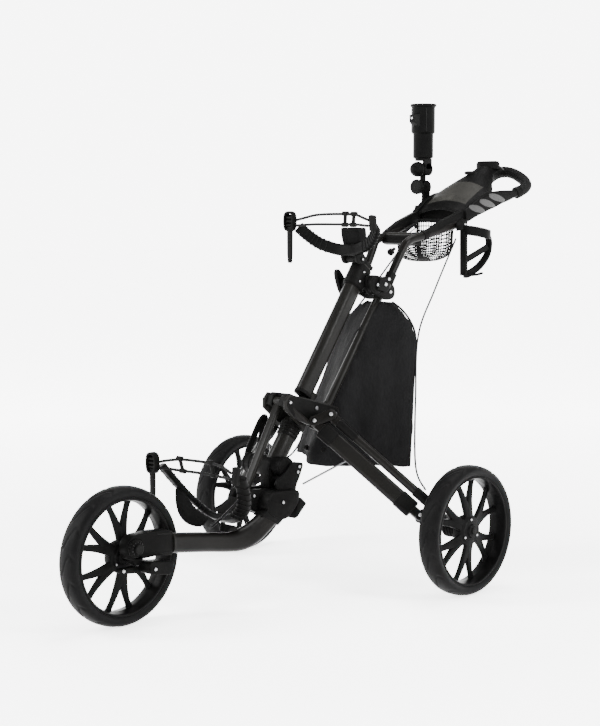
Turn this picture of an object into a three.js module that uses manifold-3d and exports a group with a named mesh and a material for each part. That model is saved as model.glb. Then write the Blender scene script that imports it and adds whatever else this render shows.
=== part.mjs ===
// Three-wheel folding push cart that carries a golf bag in two cradles.
// Millimetres, +Z up. The front wheel points along -Y and +X is the cart's left side.
// Working points are written as [x, y, z] or, for parts that lie in a side view, as [y, z].

import * as THREE from 'three';
import { ConvexGeometry } from 'three/addons/geometries/ConvexGeometry.js';
import { mergeVertices } from 'three/addons/utils/BufferGeometryUtils.js';
import Module from 'manifold-3d';

const wasm = await Module();
wasm.setup();

// ---------------------------------------------------------------- driving dimensions

const ORIGIN_Y = 111.5;          // moves the rear axle line back so that the box centre is the origin
const GAP = 0.3;                 // clearance between parts that touch

const WHEEL_R = 146;             // tyre outer radius
const RIM_R = 123;               // rim outer radius, under the tyre
const TYRE_W = 52;
const TRACK_HALF = 356;          // rear wheel plane from the centre line
const FRONT_Y = -705;            // front wheel centre
const WHEEL_STEPS = 32;

const MAST_LEAN = 54.4 * Math.PI / 180;
const MAST_DIR = [Math.cos(MAST_LEAN), Math.sin(MAST_LEAN)];      // [y, z] up along the mast
const MAST_BACK = [MAST_DIR[1], -MAST_DIR[0]];                    // [y, z] rearward, square to the mast
const MAST_START = [-152, 441];  // [y, z] on the tube's centre line just above the hub
const MAST_W = 32;               // oval tube, across
const MAST_D = 45;               // oval tube, fore and aft

const MAIN_PIN = [-148, 407];    // mast foot and lower tube turn on this pin
const BAR_PIN = [-82, 388];      // rear bar foot
const LINK_TOP = [-233, 427];    // front link, upper end
const LINK_REACH = [-113, -199]; // from either upper pivot of the front parallelogram to its lower one
const LINK_LOW = [LINK_TOP[0] + LINK_REACH[0], LINK_TOP[1] + LINK_REACH[1]];
const CAST_PIN = [MAIN_PIN[0] + LINK_REACH[0], MAIN_PIN[1] + LINK_REACH[1]];
const KNUCKLE_PIN = [56, 683];   // mast top pivot, also the handle's hinge
const BAR_TOP = [KNUCKLE_PIN[0] + BAR_PIN[0] - MAIN_PIN[0], KNUCKLE_PIN[1] + BAR_PIN[1] - MAIN_PIN[1]];
const CRADLE_PIN = [22, 744];    // upper cradle hinge

const HUB_HALF = 30;             // inner face of each hub plate
const HUB_PLATE = 6;
const CASTING_HALF = 32.5;       // outer face of each casting cheek
const ARM_X = 47;                // centre plane of the curved front arm
const AXLE_R = 7.5;

const LEG_AXIS = [0.594, -0.671, 0.444]; // hinge axis of the near leg's bars
const LEG_LOW = [56, -175, 378];       // lower bar, hub end
const LEG_UP = [79.5, -145, 392];      // upper bar, hub end, in the same plane across the axis
const LEG_SPAN = [234, 93, -199];      // from the hub end to the wheel end of either bar

// ---------------------------------------------------------------- materials

const paint = (color, roughness, metalness) => () =>
  new THREE.MeshStandardMaterial({ color, roughness, metalness });
const satinBlack = paint(0x1c1c1d, 0.42, 0.35);
const plasticBlack = paint(0x141414, 0.55, 0.0);
const rimBlack = paint(0x121213, 0.38, 0.05);
const tyreBlack = paint(0x1d1d1d, 0.8, 0.0);
const rubberBlack = paint(0x171717, 0.75, 0.0);
const steel = paint(0xb9bbbd, 0.3, 0.9);
const lidGrey = paint(0x33312f, 0.5, 0.0);
const clothBlack = paint(0x191919, 0.95, 0.0);
const meshBlack = paint(0x0e0e0e, 0.9, 0.0);

// ---------------------------------------------------------------- geometry helpers

const vec = ([x, y, z]) => new THREE.Vector3(x, y, z);
const sum = (a, b, k = 1) => a.map((v, i) => v + k * b[i]);
const mix = (a, b, t) => a.map((v, i) => v + t * (b[i] - v));
const alongMast = (t, back = 0) => sum(sum(MAST_START, MAST_DIR, t), MAST_BACK, back);
const at = (x, [y, z]) => [x, y, z];

// Side view (y, z) drawn as shape (x, y) and extruded along X.
const SIDEWAYS = new THREE.Matrix4().makeBasis(vec([0, 1, 0]), vec([0, 0, 1]), vec([1, 0, 0]));

function polygon(points) {
  return new THREE.Shape(points.map(([a, b]) => new THREE.Vector2(a, b)));
}

function smooth(points, steps) {
  const curve = new THREE.CatmullRomCurve3(points.map(([a, b]) => new THREE.Vector3(a, b, 0)));
  return curve.getPoints(steps).map((p) => [p.x, p.y]);
}

// A rectangle with rounded corners; a corner radius of half the width makes a flat oval.
function roundRect(width, height, radius, steps = 4) {
  const corners = [[1, 1, 0], [-1, 1, 90], [-1, -1, 180], [1, -1, 270]];
  const points = corners.flatMap(([sx, sy, start]) =>
    Array.from({ length: steps + 1 }, (_, i) => {
      const a = (start + 90 * i / steps) * Math.PI / 180;
      return [sx * (width / 2 - radius) + radius * Math.cos(a),
        sy * (height / 2 - radius) + radius * Math.sin(a)];
    }));
  const unique = points.filter(([x, y], i) => {
    const [px, py] = points[(i + points.length - 1) % points.length];
    return Math.hypot(x - px, y - py) > 1e-3;
  });
  return polygon(unique);
}

const rect = (width, height) => polygon([[-width / 2, -height / 2], [width / 2, -height / 2],
  [width / 2, height / 2], [-width / 2, height / 2]]);

function disc(radius, steps = 12) {
  return polygon(Array.from({ length: steps }, (_, i) =>
    [radius * Math.cos(2 * Math.PI * i / steps), radius * Math.sin(2 * Math.PI * i / steps)]));
}

function extrude(shape, depth, bevel = 0) {
  return new THREE.ExtrudeGeometry(shape, {
    depth: depth - 2 * bevel, bevelEnabled: bevel > 0, bevelThickness: bevel, bevelSize: bevel,
    bevelOffset: -bevel, bevelSegments: 1, curveSegments: 8,
  }).translate(0, 0, bevel);
}

function plate(outline, fromX, toX, bevel = 0) {
  return extrude(polygon(outline), toX - fromX, bevel).applyMatrix4(SIDEWAYS).translate(fromX, 0, 0);
}

// Straight bar with any section; the section's y side faces `up`.
function beam(from, to, shape, up = [0, 0, 1], bevel = 0) {
  const z = vec(to).sub(vec(from));
  const length = z.length();
  z.normalize();
  const y = vec(up).addScaledVector(z, -vec(up).dot(z)).normalize();
  const x = new THREE.Vector3().crossVectors(y, z);
  const frame = new THREE.Matrix4().makeBasis(x, y, z).setPosition(vec(from));
  return extrude(shape, length, bevel).applyMatrix4(frame);
}

function rod(from, to, radius, steps = 12) {
  return beam(from, to, disc(radius, steps), Math.abs(to[2] - from[2]) > Math.abs(to[0] - from[0])
    ? [1, 0, 0] : [0, 0, 1]);
}

function crossRod([y, z], fromX, toX, radius, steps = 12) {
  return rod([fromX, y, z], [toX, y, z], radius, steps);
}

// Tube or strip swept along a smooth curve through the given points.
function sweep(points, shape, steps) {
  const path = new THREE.CatmullRomCurve3(points.map(vec), false, 'centripetal');
  return new THREE.ExtrudeGeometry(shape, { extrudePath: path, steps, bevelEnabled: false });
}

function hull(points) {
  return new ConvexGeometry(points.map(vec));
}

function turned(profile, steps, [x, y, z]) {
  const points = [...profile, profile[0]].map(([r, h]) => new THREE.Vector2(r, h));
  return new THREE.LatheGeometry(points, steps).rotateZ(-Math.PI / 2).translate(x, y, z);
}

function solid(geometry) {
  const bare = geometry.clone();
  bare.deleteAttribute('normal');
  bare.deleteAttribute('uv');
  const merged = mergeVertices(bare, 1e-4);
  return new wasm.Manifold(new wasm.Mesh({
    numProp: 3,
    vertProperties: new Float32Array(merged.attributes.position.array),
    triVerts: new Uint32Array(merged.index.array),
  }));
}

function surface(manifold) {
  const mesh = manifold.getMesh();
  const geometry = new THREE.BufferGeometry();
  geometry.setAttribute('position', new THREE.BufferAttribute(new Float32Array(mesh.vertProperties), 3));
  geometry.setIndex(new THREE.BufferAttribute(new Uint32Array(mesh.triVerts), 1));
  return geometry;
}

const join = (first, ...rest) => surface(rest.reduce((all, g) => all.add(solid(g)), solid(first)));
const cut = (first, ...rest) => surface(rest.reduce((all, g) => all.subtract(solid(g)), solid(first)));
const meet = (one, other) => surface(solid(one).intersect(solid(other)));

const cart = new THREE.Group();
cart.position.y = ORIGIN_Y;

function add(name, geometry, material, parent = cart) {
  const mesh = new THREE.Mesh(geometry, material());
  mesh.name = name;
  parent.add(mesh);
  return mesh;
}

// ---------------------------------------------------------------- wheels

// Ring section around the wheel axis: [radius, offset along the axis].
function tyre() {
  const half = TYRE_W / 2;
  return turned([[RIM_R + GAP, -22], [134, -half], [142, -21], [WHEEL_R, -9],
    [WHEEL_R, 9], [142, 21], [134, half], [RIM_R + GAP, 22]], WHEEL_STEPS, [0, 0, 0]);
}

// Barrel, hub and six pairs of spokes that leave the hub dished to one side. `side` is the outer face.
function rim(side) {
  const barrel = turned([[RIM_R, -22], [RIM_R, 22], [117, 22], [114, 0], [117, -22]], WHEEL_STEPS,
    [0, 0, 0]);
  const hub = cut(crossRod([0, 0], -14, 20, 26, 16), crossRod([0, 0], -15, 21, 8.5, 8));
  const spokes = Array.from({ length: 12 }, (_, i) => {
    const pair = (30 + 60 * Math.floor(i / 2)) * Math.PI / 180;
    const spread = (i % 2 ? 1 : -1) * 13 * Math.PI / 180;
    const foot = [12, 20 * Math.cos(pair), 20 * Math.sin(pair)];
    const tip = [-8, 118 * Math.cos(pair + spread), 118 * Math.sin(pair + spread)];
    return beam(foot, tip, rect(9, 14), [1, 0, 0]);
  });
  const geometry = join(barrel, hub, ...spokes);
  if (side < 0) {
    geometry.rotateZ(Math.PI);
  }
  return geometry;
}

function wheel(name, x, y, side) {
  const centre = new THREE.Group();
  centre.position.set(x, y, WHEEL_R);
  cart.add(centre);
  add(`${name}_tyre`, tyre(), tyreBlack, centre);
  add(`${name}_rim`, rim(side), rimBlack, centre);
}

// ---------------------------------------------------------------- hub

const HUB_OUTLINE = [[-236, 446], [-125, 418], [-72, 402], [-66, 380], [-92, 366], [-120, 358],
  [-205, 374], [-250, 412], [-250, 432]];

// Side plate with a two-cheek bracket, set square to the leg's hinge axis, that holds both leg bars.
function hubPlate(side) {
  const inner = side * HUB_HALF;
  const outer = side * (HUB_HALF + HUB_PLATE);
  const body = plate(HUB_OUTLINE, Math.min(inner, outer), Math.max(inner, outer));
  const face = HUB_HALF + HUB_PLATE;
  const outerCheek = strap([LEG_LOW, LEG_UP], 13, 8, 12, side);
  const innerCheek = strap([LEG_LOW, LEG_UP], 13, -13, -8, side, [[face, -176, 368], [face, -176, 380],
    [face, -130, 380], [face, -130, 390]]);
  const web = hull([[50, -188, 382], [52, -192, 386], [56, -190, 372], [58, -194, 376], [face, -230, 420],
    [face, -214, 400], [face, -218, 388], [face, -206, 382]].map((p) => mirror(side, p)));
  const pins = [LEG_LOW, LEG_UP].map((p) => legPin(p, -13, 14, 4, side));
  const whole = join(body, outerCheek, innerCheek, web, ...pins);
  return cut(whole, crossRod(MAIN_PIN, -60, 60, 5 + GAP), crossRod(BAR_PIN, -60, 60, 4 + GAP));
}

// Nose between the plates that carries the front link's pin, ahead of the mast foot.
function hubSpacer() {
  const half = HUB_HALF - GAP;
  const cheeks = [-1, 1].map((s) => plate([[-247, 420], [-240, 440], [-226, 446], [-212, 440], [-219, 424],
    [-236, 414]], s > 0 ? 12 : -half, s > 0 ? half : -12));
  const bridge = plate([[-228, 438.5], [-226, 446], [-212, 440], [-214, 437]], -half, half);
  return join(bridge, ...cheeks, crossRod(LINK_TOP, -half, half, 5));
}

function hub() {
  add('hub_plate_near', hubPlate(1), satinBlack);
  add('hub_plate_far', hubPlate(-1), satinBlack);
  add('hub_spacer', hubSpacer(), plasticBlack);
  add('hub_main_pin', crossRod(MAIN_PIN, -39, 39, 5), steel);
  add('rear_bar_pin', crossRod(BAR_PIN, -39, 39, 4), steel);
}

// ---------------------------------------------------------------- mast and rear bar

function mastTube() {
  const tube = beam(at(0, alongMast(-8)), at(0, alongMast(352)), roundRect(MAST_W, MAST_D, 16, 3),
    at(0, MAST_BACK));
  const foot = beam(at(0, sum(MAIN_PIN, MAST_DIR, -16)), at(0, sum(MAIN_PIN, MAST_DIR, 40)),
    roundRect(16, 34, 4, 1), at(0, MAST_BACK));
  const joined = join(tube, foot);
  return cut(joined, crossRod(MAIN_PIN, -60, 60, 5 + GAP), crossRod(KNUCKLE_PIN, -60, 60, 6 + GAP));
}

function mastCollar() {
  const ring = beam(at(0, alongMast(292)), at(0, alongMast(346)), roundRect(MAST_W + 10, MAST_D + 10, 20, 3),
    at(0, MAST_BACK));
  const bore = beam(at(0, alongMast(280)), at(0, alongMast(358)),
    roundRect(MAST_W + 2 * GAP, MAST_D + 2 * GAP, 16 + GAP, 3), at(0, MAST_BACK));
  const lug = crossRod(KNUCKLE_PIN, -20, 20, 12);
  return cut(join(ring, lug), bore, crossRod(KNUCKLE_PIN, -60, 60, 6 + GAP));
}

function rearBar() {
  const tube = beam(at(0, sum(BAR_PIN, MAST_DIR, 8)), at(0, sum(BAR_TOP, MAST_DIR, -12)), disc(10),
    at(0, MAST_BACK));
  const ends = [[BAR_PIN, 4, 1], [BAR_TOP, 4, -1]].map(([pin, hole, way]) => {
    const eye = join(crossRod(pin, -12, 12, 11), beam(at(0, pin), at(0, sum(pin, MAST_DIR, 26 * way)),
      roundRect(16, 20, 4, 1), at(0, MAST_BACK)));
    return cut(eye, crossRod(pin, -60, 60, hole + GAP));
  });
  const whole = join(tube, ...ends);
  return cut(whole, crossRod(BAR_PIN, -60, 60, 4 + GAP), crossRod(BAR_TOP, -60, 60, 4 + GAP));
}

// Bracket on the mast top that keeps its angle as the mast folds: two cheeks outside the collar,
// a pin through the mast and a pin that the rear bar's top eye hangs on.
function knuckle() {
  const outline = [[36, 700], [60, 706], [92, 700], [134, 678], [136, 652], [108, 644], [70, 658], [42, 664]];
  const cheeks = [-1, 1].map((s) => plate(outline, s > 0 ? 22 : -29, s > 0 ? 29 : -22, 1.5));
  const mastPin = crossRod(KNUCKLE_PIN, -62, 46, 6);
  const barPin = crossRod(BAR_TOP, -24, 24, 4);
  return join(...cheeks, mastPin, barPin);
}

function clampKnob() {
  const boss = crossRod(KNUCKLE_PIN, -66, -51, 13, 12);
  const blade = plate([[30, 712], [42, 716], [72, 676], [74, 652], [62, 646], [46, 664]], -72, -60, 2);
  return cut(join(boss, blade), crossRod(KNUCKLE_PIN, -63, -40, 6 + GAP));
}

function mast() {
  add('mast_tube', mastTube(), satinBlack);
  add('mast_collar', mastCollar(), plasticBlack);
  add('rear_bar', rearBar(), satinBlack);
  add('knuckle', knuckle(), plasticBlack);
  add('clamp_knob', clampKnob(), plasticBlack);
}

// ---------------------------------------------------------------- lower tube, front link

const LOWER_TOP = [-186, 376];
const LOWER_END = [-248, 290];
const BARREL = [-254, 282];

function lowerTube() {
  const tube = beam(at(0, LOWER_TOP), at(0, LOWER_END), roundRect(38, 44, 16, 2), at(0, MAST_BACK));
  const ring = beam(at(0, [-193, 367]), at(0, [-202, 354]), roundRect(48, 54, 20, 2), at(0, MAST_BACK));
  const head = [-1, 1].map((s) => plate([[-160, 405], [-152, 419], [-138, 412], [-140, 398], [-176, 352],
    [-204, 378]], s > 0 ? 10 : -20, s > 0 ? 20 : -10, 1));
  const barrel = crossRod(BARREL, -78, 44, 23, 12);
  const tail = plate([[-276, 282], [-234, 276], [-247, 206], [-255, 194], [-269, 198], [-276, 212]],
    -14, 14, 2);
  const whole = join(tube, ring, ...head, barrel, tail);
  return cut(whole, crossRod(MAIN_PIN, -60, 60, 5 + GAP), crossRod(CAST_PIN, -60, 60, 5 + GAP));
}

// Grab loop that stands up from the barrel's far end.
function carryLoop() {
  const outer = plate([[-196, 384], [-178, 372], [-204, 292], [-232, 262], [-262, 268], [-250, 300]],
    -98, -80, 2);
  const hole = plate([[-199, 370], [-192, 364], [-212, 306], [-228, 296], [-236, 304]], -100, -78);
  return cut(outer, hole);
}

function frontLink() {
  const up = at(0, sum(LINK_TOP, LINK_REACH, 0.02));
  const low = at(0, sum(LINK_TOP, LINK_REACH, 0.98));
  const bar = beam(up, low, roundRect(20, 11, 3, 1), [0, 1, 0]);
  const eyes = [LINK_TOP, LINK_LOW].map((pin) => crossRod(pin, -10, 10, 10));
  return cut(join(bar, ...eyes), crossRod(LINK_TOP, -60, 60, 5 + GAP), crossRod(LINK_LOW, -60, 60, 5 + GAP));
}

// ---------------------------------------------------------------- front arm

// Two cheeks around the lower tube's tail, tied by the two pins and a floor, with the arm's root.
function armCasting() {
  const outline = [[-236, 250], [-222, 236], [-240, 178], [-262, 168], [-352, 196], [-366, 222], [-352, 240],
    [-318, 240], [-268, 232]];
  const cheeks = [-1, 1].map((s) =>
    plate(outline, s > 0 ? 18 : -CASTING_HALF, s > 0 ? CASTING_HALF : -18, 1));
  const floor = plate([[-246, 178], [-262, 168], [-346, 194], [-340, 204], [-262, 180]], -20, 20);
  const root = plate([[-262, 232], [-232, 226], [-240, 196], [-282, 172], [-334, 200], [-318, 232]],
    30, 64, 2);
  const shield = plate([[-242, 292], [-208, 286], [-230, 238], [-236, 212], [-272, 212], [-296, 250]],
    44.6, 52, 1);
  const pins = [CAST_PIN, LINK_LOW].map((pin) => crossRod(pin, -30, 30, 5));
  return join(...cheeks, floor, root, shield, ...pins);
}

// Flat oval arm: level beside the wheel, then a quarter bend up to the casting.
function frontArm() {
  const lower = smooth([[-608, 144], [-520, 132], [-441, 120], [-405, 117], [-374, 121], [-343, 133],
    [-311, 153], [-284, 170]], 16);
  const upper = smooth([[-334, 198], [-358, 184], [-389, 171], [-420, 164], [-450, 164], [-520, 175],
    [-608, 187]], 14);
  return plate([...lower, ...upper], ARM_X - 14, ARM_X + 14, 6);
}

function armEndBlock() {
  const block = plate([[-734, 164], [-733, 182], [-716, 198], [-660, 200], [-611, 192], [-611, 144],
    [-660, 147], [-716, 146]], ARM_X - 15, ARM_X + 11, 3);
  const stub = crossRod([FRONT_Y, WHEEL_R], -24, 40, AXLE_R);
  return join(block, crossRod([FRONT_Y, WHEEL_R], 30, 58, 11.5, 12), stub);
}

function trackingKnob() {
  const centre = [FRONT_Y - 11, WHEEL_R + 26];
  return join(crossRod(centre, 58 + GAP, 70, 18, 16), crossRod(centre, 69, 76, 11, 10));
}

function brakePedal() {
  const arm = plate([[-744, 132], [-746, 122], [-700, 116], [-640, 118], [-640, 133], [-700, 131]], 34, 50);
  const pad = plate([[-694, 142], [-694, 118], [-644, 111], [-634, 136]], 48, 86, 2);
  return join(arm, pad);
}

function footBlock() {
  return plate([[-222, 212], [-204, 196], [-232, 170], [-242, 166], [-236, 190], [-228, 210]], 33, 60, 2);
}

// ---------------------------------------------------------------- rear legs

const mirror = (side, [x, y, z]) => [side * x, y, z];
const legPoint = (start, t, off = 0) => sum(sum(start, LEG_SPAN, t), LEG_AXIS, off);
const cross = (a, b) => vec(a).cross(vec(b)).toArray();
const LEG_TALL = cross(LEG_AXIS, LEG_SPAN);

// Circle of points around `centre`, square to the leg's hinge axis.
function ringAbout(centre, radius, steps = 8) {
  const a = vec(LEG_SPAN).projectOnPlane(vec(LEG_AXIS)).normalize();
  const b = vec(LEG_AXIS).cross(a);
  return Array.from({ length: steps }, (_, i) => {
    const angle = 2 * Math.PI * i / steps;
    return vec(centre).addScaledVector(a, radius * Math.cos(angle))
      .addScaledVector(b, radius * Math.sin(angle)).toArray();
  });
}

// Flat piece square to the hinge axis that wraps the given centres, between two offsets along the axis.
function strap(centres, radius, from, to, side, anchors = []) {
  const rings = centres.flatMap((c) => [from, to].flatMap((off) => ringAbout(sum(c, LEG_AXIS, off), radius)));
  return hull([...rings, ...anchors].map((p) => mirror(side, p)));
}

function legPin(centre, from, to, radius, side) {
  return rod(mirror(side, sum(centre, LEG_AXIS, from)), mirror(side, sum(centre, LEG_AXIS, to)), radius, 10);
}

function legBar(start, thick, tall, side) {
  const bar = beam(mirror(side, legPoint(start, 0.07)), mirror(side, legPoint(start, 0.93)),
    roundRect(thick, tall, thick / 2.1, 2), mirror(side, LEG_TALL));
  const eyes = [0, 1].map((t) =>
    strap([legPoint(start, t), legPoint(start, t ? 0.9 : 0.1)], 10, -7, 7, side));
  const bores = [0, 1].map((t) => legPin(legPoint(start, t), -30, 30, 4 + GAP, side));
  return cut(join(bar, ...eyes), ...bores);
}

// Axle housing inboard of the wheel, with the two pivots of the leg bars on it.
function wheelBracket(side) {
  const low = legPoint(LEG_LOW, 1);
  const high = legPoint(LEG_UP, 1);
  const inner = strap([low, high], 12, -13, -8, side, [[306, 4, 136], [306, 16, 156], [312, -2, 150]]);
  const outer = strap([low, high], 12, 8, 12, side);
  const pins = [low, high].map((p) => legPin(p, -13, 13, 4, side));
  const housing = rod([side * 302, 0, WHEEL_R], [side * 338, 0, WHEEL_R], 20, 12);
  const axle = rod([side * 330, 0, WHEEL_R], [side * 380, 0, WHEEL_R], AXLE_R);
  return join(inner, ...pins, outer, housing, axle);
}

const STAY_LEG_T = 0.36;
const STAY_FOOT = [50, -208, 240];

function stayRod(side) {
  const end = legPoint(LEG_LOW, STAY_LEG_T, -12.5);
  const bar = rod(mirror(side, end), mirror(side, STAY_FOOT), 2.2, 8);
  const eye = strap([end], 6, -3.5, 3.5, side);
  return join(bar, eye);
}

function leg(name, side) {
  add(`${name}_leg_lower`, legBar(LEG_LOW, 16, 38, side), satinBlack);
  add(`${name}_leg_upper`, legBar(LEG_UP, 18, 20, side), satinBlack);
  add(`${name}_wheel_bracket`, wheelBracket(side), plasticBlack);
  add(`${name}_stay_rod`, stayRod(side), steel);
}

// ---------------------------------------------------------------- bag cradles

// One bent band through a middle point, with the same half path mirrored to the other side.
function bandThrough(middle, half, section, steps) {
  const path = [...half.slice().reverse().map((p) => mirror(-1, p)), middle, ...half];
  return sweep(path, section, steps);
}

// Two elastic cords side by side, tied by a pair of spacers.
function elasticStrap(topCord, lowCord, spacers) {
  const cords = [topCord, lowCord].map(([middle, half]) => bandThrough(middle, half, disc(3.2, 6), 14));
  const ties = spacers.map(([from, to]) => beam(from, to, rect(16, 9), [0, 1, 0]));
  return join(...cords, ...ties);
}

function lowerCradle() {
  const band = bandThrough([0, -412, 184], [[34, -414, 188], [74, -424, 212], [104, -448, 250],
    [124, -480, 296]], rect(30, 14), 16);
  const neck = hull([[-18, -374, 198], [18, -374, 198], [-18, -374, 226], [18, -374, 226], [-22, -408, 178],
    [22, -408, 178], [-22, -408, 196], [22, -408, 196]]);
  return join(band, neck);
}

function lowerPedestal() {
  return hull([[33, -456, 166.5], [60, -456, 166.5], [33, -424, 166.5], [60, -424, 166.5], [24, -442, 177],
    [58, -442, 177], [24, -426, 177], [58, -426, 177]]);
}

// Rubber wing that the foot of the bag stands on.
function lowerPad(side) {
  const spoon = [[12, -446, 180], [24, -464, 180], [62, -476, 206], [92, -478, 238], [98, -470, 250],
    [84, -458, 246], [44, -444, 206]];
  const thick = spoon.map((p) => sum(p, [2, -5, -6]));
  return hull([...spoon, ...thick].map((p) => mirror(side, p)));
}

// Cap on the mast top with the hinge eye of the upper cradle at its front.
function upperBase() {
  const cap = beam(at(0, alongMast(352 + GAP)), at(0, alongMast(362)), rect(30, 42), at(0, MAST_BACK));
  const eye = plate([[10, 742], [13, 752], [24, 755], [29, 746], [20, 735]], -15, 15);
  const bridge = plate([[20, 743], [20, 753], [34, 756], [54, 746], [50, 738], [38, 743.5]], -15, 15);
  return join(cap, eye, bridge, crossRod(CRADLE_PIN, -29, 29, 5));
}

function upperCradle() {
  const band = bandThrough([0, 2, 766], [[30, -2, 767], [74, -14, 780], [104, -26, 800], [122, -40, 820]],
    rect(28, 14), 16);
  const ears = [-1, 1].map((s) => plate([[8, 738], [0, 770], [16, 772], [36, 746], [30, 736]],
    s > 0 ? 18 : -26, s > 0 ? 26 : -18));
  return cut(join(band, ...ears), crossRod(CRADLE_PIN, -60, 60, 5 + GAP));
}

function cushionBlock() {
  return hull([[-29, 11, 777], [29, 11, 777], [-29, 38, 778], [29, 38, 778], [-27, 3, 815], [27, 3, 815],
    [-27, 36, 817], [27, 36, 817]]);
}

// Buckle at a cradle's tip, with its pull tab hanging from it.
function buckle([x, y, z], length) {
  const frame = hull([[-14, -16, -20], [14, -16, -20], [-14, -16, 22], [14, -16, 22], [-14, 0, -20],
    [14, 0, -20], [-14, 0, 22], [14, 0, 22]].map((p) => sum(p, [x, y, z])));
  const tab = beam(sum([x, y, z], [0, -8, -12]), sum([x, y, z], [0, -8, -length]), rect(16, 6), [0, 1, 0]);
  return join(frame, tab);
}

// ---------------------------------------------------------------- handle

const TUBE_R = 10;
const RAIL_END = [79, 340, 830];

function handleSide(side) {
  const path = [[41, 92, 678], [43, 112, 712], [47, 146, 766], [50, 158, 782], [53, 178, 791], [58, 205, 797],
    [66, 262, 811], RAIL_END];
  return sweep(path.map((p) => mirror(side, p)), disc(TUBE_R, 8), 14);
}

function handleFrame() {
  const hinge = [-1, 1].map((s) => crossRod(KNUCKLE_PIN, s > 0 ? 30 : -42, s > 0 ? 42 : -30, 22, 14));
  const sockets = [-1, 1].map((s) => hull([30, 50].flatMap((x) => [[x, 52, 672], [x, 62, 700],
    [x, 96, 702], [x, 104, 682], [x, 84, 664]]).map((p) => mirror(s, p))));
  const crossbar = rod([-57, 204, 799], [57, 204, 799], 7, 10);
  const panel = plate([[188, 788], [186, 780], [210, 776], [214, 790], [204, 798]], -52, 52, 1);
  const whole = join(handleSide(1), handleSide(-1), ...hinge, ...sockets, crossbar, panel);
  return cut(whole, crossRod(KNUCKLE_PIN, -70, 70, 6 + GAP));
}

const CROWN_STEPS = [1, 0.82, 0.5, 0, -0.5, -0.82, -1];   // shares of the half width, left to right

// Ring of a crowned section: half width, bottom, shoulder and crown heights at one station.
function crownRing([y, half, bottom, shoulder, crown]) {
  const top = CROWN_STEPS.map((f) => [f * half, y, shoulder + (crown - shoulder) * (1 - f * f)]);
  return [[-half * 0.86, y, bottom], [half * 0.86, y, bottom], ...top];
}

// Closed skin through rings with the same number of points, listed front to back.
function loft(rings) {
  const count = rings[0].length;
  const positions = [];
  const point = (i, j) => rings[i][j % count];
  for (let i = 0; i + 1 < rings.length; i += 1) {
    for (let j = 0; j < count; j += 1) {
      positions.push(...point(i, j), ...point(i + 1, j), ...point(i, j + 1));
      positions.push(...point(i + 1, j), ...point(i + 1, j + 1), ...point(i, j + 1));
    }
  }
  for (let j = 1; j + 1 < count; j += 1) {
    const last = rings.length - 1;
    positions.push(...point(0, 0), ...point(0, j), ...point(0, j + 1));
    positions.push(...point(last, 0), ...point(last, j + 1), ...point(last, j));
  }
  const geometry = new THREE.BufferGeometry();
  geometry.setAttribute('position', new THREE.Float32BufferAttribute(positions, 3));
  return geometry;
}

// y, half width, bottom, shoulder, crown along the console.
const CONSOLE = [[343, 80, 826, 848, 866], [400, 86, 848, 884, 903], [452, 84, 864, 906, 936],
  [492, 56, 898, 930, 958], [530, 33, 930, 956, 978], [566, 31, 944, 966, 986], [596, 26, 946, 960, 974]];
// Side walls outside the crown: y, inner x, outer x, lower z and upper z, front to back.
const WALL = [[345, 70, 86, 828, 862], [400, 76, 92, 850, 892], [444, 78, 94, 864, 906],
  [492, 82, 97, 880, 911], [544, 82, 98, 895, 912]];
const LID_FROM = 372;
const LID_TO = 448;
const LID_HALF = 62;
const LID_THICK = 4;

const shrink = (rows, by) => rows.map(([y, half, bottom, shoulder, crown]) =>
  [y, half - by, bottom + by, shoulder - by, crown - by]);

function stationAt(y) {
  const i = CONSOLE.findIndex((row, k) => y >= row[0] && y <= CONSOLE[k + 1][0]);
  const t = (y - CONSOLE[i][0]) / (CONSOLE[i + 1][0] - CONSOLE[i][0]);
  return mix(CONSOLE[i], CONSOLE[i + 1], t);
}

// Box over the lid's place, with both sides and both ends moved out by a margin.
function lidPlace(margin) {
  return hull([-1, 1].flatMap((s) => [LID_FROM - margin, LID_TO + margin].flatMap((y) =>
    [840, 990].map((z) => [s * (LID_HALF + margin), y, z]))));
}

// Solid under the crown around the lid's place, with its top lowered by a depth.
function crownBelow(depth) {
  return loft([stationAt(LID_FROM - 12), CONSOLE[1], CONSOLE[2], stationAt(LID_TO + 12)]
    .map(([y, half, , shoulder, crown]) => crownRing([y, half, 800, shoulder - depth, crown - depth])));
}

function consoleTray() {
  const body = loft(CONSOLE.map(crownRing));
  const well = loft(shrink([stationAt(LID_FROM + 2), CONSOLE[1], stationAt(LID_TO - 2)], 6)
    .map(([y, half, bottom, shoulder, crown]) => crownRing([y, half * 0.66, bottom, shoulder + 30,
      crown + 30])));
  const front = loft(shrink([[339, 79, 822, 844, 862], CONSOLE[0], stationAt(LID_FROM - 8)], 5)
    .map(([y, half, bottom, shoulder, crown]) => crownRing([y, half * 0.92, bottom - 20, shoulder, crown])));
  const seat = cut(lidPlace(0), crownBelow(LID_THICK + 1));
  const walls = [-1, 1].flatMap((s) => WALL.slice(1).map((row, i) => hull([WALL[i], row]
    .flatMap(([y, inner, outer, low, high]) => [[inner, y, low], [outer, y, low + 3], [inner, y, high],
      [outer, y, high - 3]]).map((p) => mirror(s, p)))));
  const arms = [-1, 1].map((s) => hull([[58, 216, 812], [70, 216, 812], [58, 218, 816], [70, 218, 816],
    [60, 262, 826], [74, 262, 826], [60, 264, 842], [74, 264, 842], [66, 346, 847], [79, 346, 847],
    [66, 346, 864], [78, 346, 862]].map((p) => mirror(s, p))));
  return join(cut(body, well, front, seat), ...walls, ...arms);
}

// Curved sheet that follows the crown: the crowned solid less the same crown lowered by its thickness.
function consoleLid() {
  return cut(meet(crownBelow(0), lidPlace(-GAP)), crownBelow(LID_THICK));
}

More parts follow.
